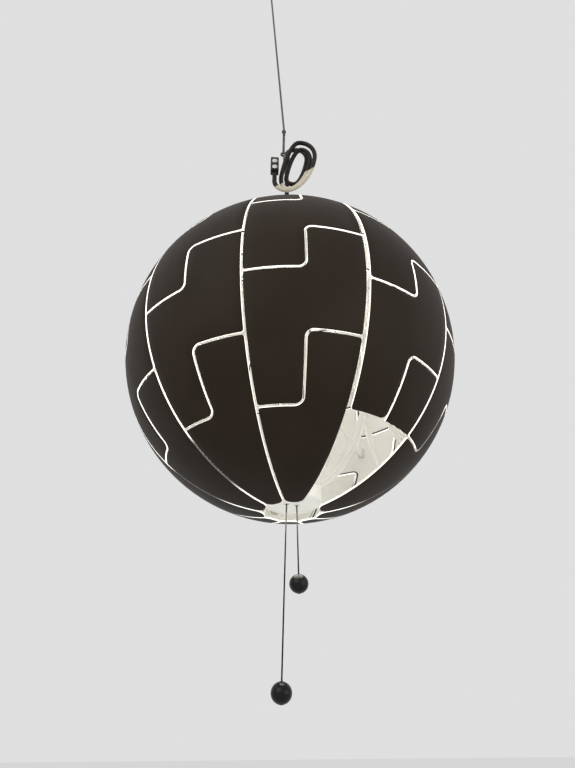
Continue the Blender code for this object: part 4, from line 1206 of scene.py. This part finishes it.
def make_cup():
    """The bottom cup, with a rounded floor edge, a fine groove, and an eyelet round each hole."""
    inner = CUP_RADIUS - CUP_WALL
    outline = [
        (0.0, CUP_BOTTOM + CUP_WALL),
        (inner, CUP_BOTTOM + CUP_WALL),
        (inner, CUP_TOP),
        (CUP_RADIUS, CUP_TOP),
        *groove(CUP_RADIUS, CUP_TOP - 0.0040, *CUP_GROOVE),
        (CUP_RADIUS, CUP_BOTTOM + 0.0028),
        (CUP_RADIUS - 0.0008, CUP_BOTTOM + 0.0010),
        (CUP_RADIUS - 0.0028, CUP_BOTTOM),
        (0.0, CUP_BOTTOM),
    ]
    middle = vertical(AXLE_HEIGHT)
    reach = lift_turn().to_3x3() @ Vector((CUP_RADIUS + 0.003, 0.0, 0.0))
    steps = [("DIFFERENCE", rod("cup_axle_bore", middle - reach, middle + reach, CUP_HOLE_RADIUS))]
    for side in (-1, 1):
        low, high = cup_hole(side) - vertical(0.002), cup_hole(side) + vertical(0.004)
        steps.append(("DIFFERENCE", rod(f"cup_hole_{side}", low, high, CUP_HOLE_RADIUS)))
    mesh = combined(turned("bottom_cup", softened(outline, 0.0004, 2), 72), steps)
    piece("bottom_cup_shell", mesh, "lower_hub", (CUP_WHITE,), ("bottom_cup",))
    for word, side in (("closing", -1), ("opening", 1)):
        middle = cup_hole(side) - vertical(0.0001)
        ring = [
            middle + EYELET_RADIUS * Vector((math.cos(a), math.sin(a), 0.0)) for a in round_angles(32)
        ]
        mesh = tube(f"{word}_eyelet", ring, EYELET_WIRE_RADIUS, 10, closed=True)
        piece(f"{word}_eyelet", mesh, "lower_hub", (DRUM_WHITE,))


def make_drum():
    """The drum, with a lift spool at each end."""
    inner, outer = LIFT_RADIUS - SPOOL_HALF_WIDTH, LIFT_RADIUS + SPOOL_HALF_WIDTH
    right = [
        (DRUM_CORE_RADIUS, DRUM_HALF_WIDTH - FLANGE_THICKNESS),
        (DRUM_FLANGE_RADIUS, DRUM_HALF_WIDTH - FLANGE_THICKNESS),
        (DRUM_FLANGE_RADIUS, DRUM_HALF_WIDTH),
        (AXLE_RADIUS, DRUM_HALF_WIDTH),
        (AXLE_RADIUS, inner - FLANGE_THICKNESS),
        (SPOOL_FLANGE_RADIUS, inner - FLANGE_THICKNESS),
        (SPOOL_FLANGE_RADIUS, inner),
        (SPOOL_RADIUS, inner),
        (SPOOL_RADIUS, outer),
        (SPOOL_FLANGE_RADIUS, outer),
        (SPOOL_FLANGE_RADIUS, outer + FLANGE_THICKNESS),
        (0.0, outer + FLANGE_THICKNESS),
    ]
    profile = right[::-1] + [(r, -z) for r, z in right]
    mesh = turned("string_drum", softened(profile, 0.0002, 2), 40)
    mesh.transform(lift_turn() @ Matrix.Rotation(math.pi / 2, 4, "Y"))
    place = TO_GLOBE @ Matrix.Translation(vertical(AXLE_HEIGHT))
    piece("drum_spindle", mesh, "drum", (DRUM_WHITE,), ("string_drum",), place)


def make_lift_lines():
    """Two thin lines from the drum up to the top hub; in the lamp they shorten as the bottom hub
    rises.
    """
    top = HUB_TOP - 0.0008
    tangent = SPOOL_RADIUS + LIFT_LINE_RADIUS + FAIR_GAP
    for side, word in ((1, "front"), (-1, "back")):
        direction = lift_turn().to_3x3() @ Vector((side * LIFT_RADIUS, 0.0, 0.0))
        place = direction - side * lift_across() * tangent
        low, high = place + vertical(AXLE_HEIGHT), place + vertical(top)
        mesh = twisted(f"lift_line_{word}", low, high, LIFT_LINE_RADIUS, LIFT_LINE_PITCH)
        nodes = (f"lift_line_{word}",)
        made = piece(f"lift_thread_{word}", mesh, "frame", (STRING,), nodes)
        anchor = TO_GLOBE @ high
        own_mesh(made)


# Strings and balls
STRING_RADIUS = 0.00075
STRING_PITCH = 0.0046
STRING_TRAVEL = 0.076
STRANDS = 3
STRAND_SHARE = 0.5
TURN_STEPS = 8
BALL_RADIUS = 0.0086
BALL_HALF_HEIGHT = 0.0083
BALL_STEPS = 24
OPENING_BALL_DROP = 0.2370
CLOSING_BALL_DROP = 0.3225
OPENING_LEANS = (0.5, 1.0)
CLOSING_LEANS = (-1.9, -2.0)


def twisted(name, start, end, radius, pitch):
    """A straight string of twisted strands from start to end."""
    length = (end - start).length
    turn = (end - start).to_track_quat("Z", "Y").to_matrix()
    strand = radius * STRAND_SHARE
    steps = max(TURN_STEPS, int(length / pitch * TURN_STEPS))
    meshes = []
    for number in range(STRANDS):
        points = []
        for step in range(steps + 1):
            share = step / steps
            angle = 2 * math.pi * (share * length / pitch + number / STRANDS)
            offset = Vector((math.cos(angle), math.sin(angle), 0.0)) * (radius - strand)
            points.append(start + turn @ (offset + vertical(share * length)))
        meshes.append(tube(name, points, strand, 6))
    return joined(name, meshes)


def make_pull(word, side, ball_drop, leans, above_cup):
    """A string with its ball, down from the cup's hole at its leans in X and Y."""
    down = Vector((*(math.tan(math.radians(lean)) for lean in leans), -1.0))
    drop = (ball_drop + CUP_BOTTOM) * down.length
    turn = down.to_track_quat("-Z", "Y").to_matrix().to_4x4()
    place = TO_GLOBE @ Matrix.Translation(cup_hole(side) + down.normalized() * drop) @ turn
    outline = [(0.0, 0.0079), (0.0011, 0.0079), (0.0015, BALL_HALF_HEIGHT)]
    for step in range(2, BALL_STEPS - 1):
        angle = math.pi * step / BALL_STEPS
        outline.append((BALL_RADIUS * math.sin(angle), BALL_HALF_HEIGHT * math.cos(angle)))
    outline += [(0.0014, -BALL_HALF_HEIGHT), (0.0010, -0.0078), (0.0, -0.0078)]
    body, bead, cord = f"{word}_pull", f"{word}_bead", f"{word}_cord"
    mesh = turned(bead, outline, 48)
    ball = piece(bead, mesh, body, (BALL,), (f"{word}_ball",), place)
    low, high = vertical(0.0082), vertical(drop + above_cup)
    mesh = twisted(cord, low, high, STRING_RADIUS, STRING_PITCH)
    string = piece(cord, mesh, body, (STRING,), (f"{word}_string",), place)
    top, bottom = place @ high, place @ low


# Flex
FLEX_RADIUS = 0.003
FLEX_SIDES = 20
RISER_POINTS = 40
COIL_POINTS = 230
RELIEF_TIP = HOUSING_BASE + HOUSING_HEIGHT + HOUSING_DOME_HEIGHT + RELIEF_LENGTH
RISER_BENDS = (Vector((-0.0010, 0.0, 0.2500)), Vector((-0.0012, -0.0017, 0.3060)))
RISER_TOP = Vector((-0.001, -0.003, 0.3535))
GRIP_LENGTH = 0.010
COIL_SPAN = 0.100
COIL_LEAN = 0.14
QUARTER_STEPS = 8
# The outermost places of the coil's turns, a quarter turn apart: top, right, bottom, left and
# so on, as shares of COIL_SPAN right of, behind and above its start
COIL_QUARTER_SHARES = (
    (0.095, 0.000, 0.160),
    (0.277, -0.065, -0.204),
    (0.092, -0.091, -0.711),
    (-0.008, -0.097, -0.588),
    (0.199, -0.114, 0.005),
    (0.324, -0.127, -0.291),
    (0.018, -0.145, -0.877),
    (-0.072, -0.154, -0.611),
    (0.173, -0.171, 0.083),
    (0.388, -0.183, -0.290),
    (-0.016, -0.203, -0.964),
    (-0.163, -0.237, -0.784),
)
COIL_END_SHARES = (-0.162, -0.248, -0.667)
# The terminal block on the flex's free end, in a frame whose Z runs on from the flex
BLOCK_SIZE = (0.0108, 0.0108, 0.0238)
BLOCK_HALF_LENGTH = 0.012
BLOCK_BEVEL = 0.0012
TERMINAL_PLACES = (-0.0027, 0.0027)
TERMINAL_BORE_RADIUS = 0.0019
TERMINAL_OUTLINE = ((0.0014, 0.0115), (0.0018, 0.0115), (0.0018, 0.0065), (0.0014, 0.0065))
SCREW_PLACES = (-0.0055, 0.0055)
SCREW_BORE_RADIUS = 0.0040
SCREW_OUTLINE = ((0.0, 0.0), (0.0035, 0.0), (0.0035, 0.0012), (0.0, 0.0012))
SCREW_SLOT_SIZE = (0.0074, 0.0008, 0.0010)


def coil_turns(begin):
    """From a straight start, quarters of leaning ellipses join the turns' outermost places."""
    points = [begin, begin + vertical(2 * FLEX_RADIUS)]
    for number, shares in enumerate(COIL_QUARTER_SHARES):
        start = points[-1]
        step = begin + COIL_SPAN * Vector(shares) - start
        lean = COIL_LEAN * step.z
        for cut in range(1, QUARTER_STEPS + 1):
            angle = math.pi / 2 * cut / QUARTER_STEPS
            early, late = math.sin(angle), 1 - math.cos(angle)
            up, across = (early, late) if number % 2 == 0 else (late, early)
            right = (step.x - lean) * across + lean * up
            points.append(start + Vector((right, step.y * cut / QUARTER_STEPS, step.z * up)))
    points.append(begin + COIL_SPAN * Vector(COIL_END_SHARES))
    return points


def flex_route():
    """The flex's middle line, from the strain relief up the riser and round the coil."""
    start = vertical(RELIEF_TIP + FAIR_GAP)
    straight = start + vertical(2 * FLEX_RADIUS)
    riser = [start, straight, *RISER_BENDS, RISER_TOP - vertical(GRIP_LENGTH), RISER_TOP]
    coil = coil_turns(RISER_TOP + vertical(FAIR_GAP))
    return smooth_line(riser, RISER_POINTS) + smooth_line(coil, COIL_POINTS)


def length_of(points):
    return sum((second - first).length for first, second in zip(points, points[1:]))


def make_connector(place):
    """The terminal block's body, and its tubes and screws as one bright piece."""
    cuts, bright = [], []
    for x in TERMINAL_PLACES:
        ends = [(x, 0.0, z) for z in (0.006, 0.013)]
        cuts.append(("DIFFERENCE", rod("terminal_bore", *ends, TERMINAL_BORE_RADIUS)))
        mesh = turned("terminal_tube", softened(TERMINAL_OUTLINE, 0.0001, 2), 24)
        mesh.transform(Matrix.Translation((x, 0.0, 0.0)))
        bright.append(mesh)
    for z in SCREW_PLACES:
        ends = [(0.0, y, z) for y in (-0.0035, -0.007)]
        cuts.append(("DIFFERENCE", rod("screw_bore", *ends, SCREW_BORE_RADIUS)))
        head = turned("terminal_screw", softened(SCREW_OUTLINE, 0.0002, 2), 24)
        slot = block("screw_slot", SCREW_SLOT_SIZE, 0.00005, Matrix.Translation(vertical(0.0012)))
        mesh = combined(head, [("DIFFERENCE", slot)])
        mesh.transform(Matrix.Translation((0.0, -0.0038, z)) @ Matrix.Rotation(math.pi / 2, 4, "X"))
        bright.append(mesh)
    shell = combined(block("connector_body", BLOCK_SIZE, BLOCK_BEVEL, Matrix()), cuts)
    body = piece("terminal_block", shell, "frame", (BLOCK,), ("connector",), place)
    mesh = joined("terminal_metal", bright)
    inside = piece("terminal_metal", mesh, "frame", (TERMINAL,), (), place)
    return [body, inside]


def make_flex():
    route = [TO_GLOBE @ point for point in flex_route()]
    along = (route[-1] - route[-2]).normalized()
    middle = route[-1] + along * (BLOCK_HALF_LENGTH + FAIR_GAP)
    turn = along.to_track_quat("Z", "Y").to_matrix().to_4x4()
    connector = make_connector(Matrix.Translation(middle) @ turn)
    mesh = tube("flex", route, FLEX_RADIUS, FLEX_SIDES)
    nodes = ("flex_riser", "flex_coil")
    flex = piece("flex", mesh, "frame", (FLEX,), nodes, Matrix())
    round(length_of(route), 3)


# Hook, lead and ceiling plate
GRIP_RADIUS = 0.005
GRIP_BORE_RADIUS = 0.0033
GRIP_GROOVE = (0.0004, 0.0006, 0.0006)
RING_CENTRE = Vector((-0.0053, 0.003, 0.3690))
RING_RADIUS = 0.0032
RING_WIRE_RADIUS = 0.0016
TAIL_RADIUS = 0.0012
STEM_TOP = Vector((-0.0045, 0.003, 0.4230))
STEM_RADIUS = 0.0018
KNOB_RADIUS = 0.0033
KNOB_STEPS = 24
LEAD_RADIUS = 0.0015
PLATE_RADIUS = 0.022
PLATE_THICKNESS = 0.004
PLATE_BOSS_RADIUS = 0.005
PLATE_HEIGHT = 0.014


def make_hook():
    """The grip round the flex, and the wire tail, ring, stem and knob that the lead holds."""
    top = RISER_TOP - vertical(FAIR_GAP)
    sleeve = [
        (GRIP_BORE_RADIUS, 0.0),
        (GRIP_BORE_RADIUS, -GRIP_LENGTH),
        (GRIP_RADIUS, -GRIP_LENGTH),
        *groove(GRIP_RADIUS, -0.0060, *GRIP_GROOVE)[::-1],
        *groove(GRIP_RADIUS, -0.0022, *GRIP_GROOVE)[::-1],
        (GRIP_RADIUS, 0.0),
    ]
    grip = turned("hook_sleeve", softened(sleeve, 0.0003, 2), 40)
    grip.transform(Matrix.Translation(top))
    turns = [Vector((math.cos(a), 0.0, math.sin(a))) for a in round_angles(40)]
    ring = [RING_CENTRE + RING_RADIUS * turn for turn in turns]
    foot = top + Vector((0.0, 0.0042, -0.005))
    bend = foot + Vector((0.0, 0.0008, 0.006))
    tail = smooth_line([foot, bend, RING_CENTRE - vertical(RING_RADIUS)], 12)
    stem = [RING_CENTRE + vertical(RING_RADIUS), STEM_TOP]
    angles = [math.pi * step / KNOB_STEPS for step in range(KNOB_STEPS + 1)]
    outline = [(KNOB_RADIUS * math.sin(a), KNOB_RADIUS * math.cos(a)) for a in angles]
    knob = turned("hook_knob", outline, 32)
    knob.transform(Matrix.Translation(STEM_TOP))
    meshes = [
        grip,
        tube("hook_ring", ring, RING_WIRE_RADIUS, 14, closed=True),
        tube("hook_tail", tail, TAIL_RADIUS, 14),
        tube("hook_stem", stem, STEM_RADIUS, 20),
        knob,
    ]
    mesh = joined("hanging_hook", meshes)
    piece("hook_and_sleeve", mesh, "frame", (HOOK,), ("hanging_hook",))


def make_lead():
    """The thin lead from the hook's knob to the ceiling plate."""
    top = Vector((-GLOBE_CENTRE.x, 0.0, -GLOBE_CENTRE.z - PLATE_HEIGHT - FAIR_GAP))
    start = STEM_TOP + vertical(KNOB_RADIUS + FAIR_GAP)
    straight = vertical(2 * LEAD_RADIUS)
    controls = [start, start + straight, start.lerp(top, 0.5), top - straight, top]
    route = [TO_GLOBE @ point for point in smooth_line(controls, 30)]
    mesh = tube("lead", route, LEAD_RADIUS, 14)
    lead = piece("lead", mesh, "frame", (LEAD,), ("ceiling_lead",), Matrix())
    round(length_of(route), 3)


def make_plate():
    outline = [
        (0.0, 0.0),
        (PLATE_RADIUS, 0.0),
        (PLATE_RADIUS, -0.0022),
        (0.0205, -PLATE_THICKNESS),
        (0.0080, -PLATE_THICKNESS),
        (0.0062, -0.0046),
        (PLATE_BOSS_RADIUS, -0.0070),
        (PLATE_BOSS_RADIUS, -0.0138),
        (0.0, -PLATE_HEIGHT),
    ]
    mesh = turned("ceiling_plate", softened(outline, 0.0007), 72)
    piece("ceiling_rose", mesh, "frame", (PLATE,), ("ceiling_plate",), Matrix())


def dress_hubs():
    """The two hubs' own solids are shown as they are, in the finish and painted glow of the other
    white parts.
    """
    for name in ("top_hub", "bottom_hub"):
        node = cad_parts[name]
        for slot in node.material_slots:
            slot.material = HUB_WHITE


# Stage
FLOOR_HALF_SIZE = 12.0
FLOOR_LEVEL = -1.62


def make_floor():
    """A floor that looks pale, but sends the object only a plain floor's light."""
    corners = [(-1, -1), (1, -1), (1, 1), (-1, 1)]
    points = [(x * FLOOR_HALF_SIZE, y * FLOOR_HALF_SIZE, FLOOR_LEVEL) for x, y in corners]
    floor = bpy.data.meshes.new("floor")
    floor.from_pydata(points, [], [(0, 1, 2, 3)])
    made = Finish("floor_pale", Specular_IOR_Level=0.2, Emission_Strength=1.0)
    seen = made.seen()
    base = made.mix(made.noise(0.6, 2.0), (0.72, 0.72, 0.72), (0.75, 0.75, 0.75))
    made.surface(
        Base_Color=made.mix(seen, base, (0.17, 0.17, 0.17)),
        Emission_Color=made.mix(seen, (0.0, 0.0, 0.0), (0.54, 0.54, 0.543)),
        Roughness=0.9,
    )
    floor.materials.append(made.material)
    ground = bpy.data.objects.new("floor", floor)
    bpy.context.scene.collection.objects.link(ground)


def make_backdrop():
    """Even light on the object, and pale grey wherever the camera sees the world itself."""
    world = bpy.data.worlds.new("studio")
    bpy.context.scene.world = world
    world.use_nodes = True
    sky = Nodes(world.node_tree)
    shade = sky.mix(sky.seen(), (0.55, 0.5445, 0.5335), (0.74, 0.74, 0.745))
    sky.put(world.node_tree.nodes["Background"].inputs["Color"], shade)


def add_lamp(name, place, size, power, tint, target=(0.0, 0.0, 0.0)):
    """A round lamp at a place that is given from the globe's centre, facing its target."""
    lamp = bpy.data.lights.new(name, "AREA")
    lamp.shape = "DISK"
    lamp.size = size
    lamp.energy = power
    lamp.color = tint
    made = bpy.data.objects.new(name, lamp)
    bpy.context.scene.collection.objects.link(made)
    made.location = GLOBE_CENTRE + Vector(place)
    made.rotation_mode = "QUATERNION"
    made.rotation_quaternion = (Vector(target) - Vector(place)).to_track_quat("-Z", "Y")
    made.visible_camera = False


# The camera that was fitted to the photograph: its size, the globe's centre in it and the focal
# length in pixels, the roll in radians, and how far below the globe's level it looks from
PHOTO_WIDTH = 575.0
PHOTO_HEIGHT = 768.0
CENTRE_X = 289.84
CENTRE_Y = 361.29
FOCAL_LENGTH = 560.0
CAMERA_ROLL = 0.013
CAMERA_DROP = 34.5
CAMERA_DISTANCE = 0.62055
SENSOR_SIZE = 36.0


def make_camera():
    """The photograph's view: below the globe, looking up, with the globe's centre at its pixel."""
    drop = math.radians(CAMERA_DROP)
    back = Vector((0.0, -math.cos(drop), -math.sin(drop)))
    right = Vector((1.0, 0.0, 0.0))
    aim = Matrix((right, back.cross(right), back))
    rolled = Matrix.Rotation(CAMERA_ROLL, 3, "Z")
    across = (CENTRE_X - PHOTO_WIDTH / 2) / FOCAL_LENGTH
    down = (CENTRE_Y - PHOTO_HEIGHT / 2) / FOCAL_LENGTH
    towards = Vector((across, -down, -1.0)).normalized()
    swing = Vector((0.0, 0.0, -1.0)).rotation_difference(towards).to_matrix()
    turn = (swing @ rolled @ aim).transposed().to_4x4()
    camera = bpy.data.cameras.new("camera")
    camera.sensor_width = SENSOR_SIZE
    camera.lens = SENSOR_SIZE * FOCAL_LENGTH / PHOTO_HEIGHT
    camera.clip_start = 0.01
    made = bpy.data.objects.new("camera", camera)
    bpy.context.scene.collection.objects.link(made)
    made.matrix_world = Matrix.Translation(GLOBE_CENTRE + CAMERA_DISTANCE * back) @ turn
    bpy.context.scene.camera = made


make_camera()
make_floor()
make_backdrop()
add_lamp("key", (-0.9, -1.5, 0.7), 1.8, 12.0, (1.0, 0.99, 0.97))
add_lamp("fill", (1.4, -0.9, -0.3), 1.6, 7.0, (0.98, 0.99, 1.0))
add_lamp("foot_glow", (0.0, 0.0, CUP_BOTTOM - 0.008), 0.09, 0.15, (1.0, 0.94, 0.84), (0.0, 0.0, -1.0))
bpy.context.scene.view_settings.view_transform = "Standard"

make_flex()
make_lead()
make_pull("opening", 1, OPENING_BALL_DROP, OPENING_LEANS, STRING_TRAVEL)
make_pull("closing", -1, CLOSING_BALL_DROP, CLOSING_LEANS, AXLE_HEIGHT - CUP_BOTTOM)
make_hook()
make_plate()
make_columns()
make_housing()
make_lampholder()
make_bulb()
make_cup()
make_drum()
make_lift_lines()
dress_hubs()
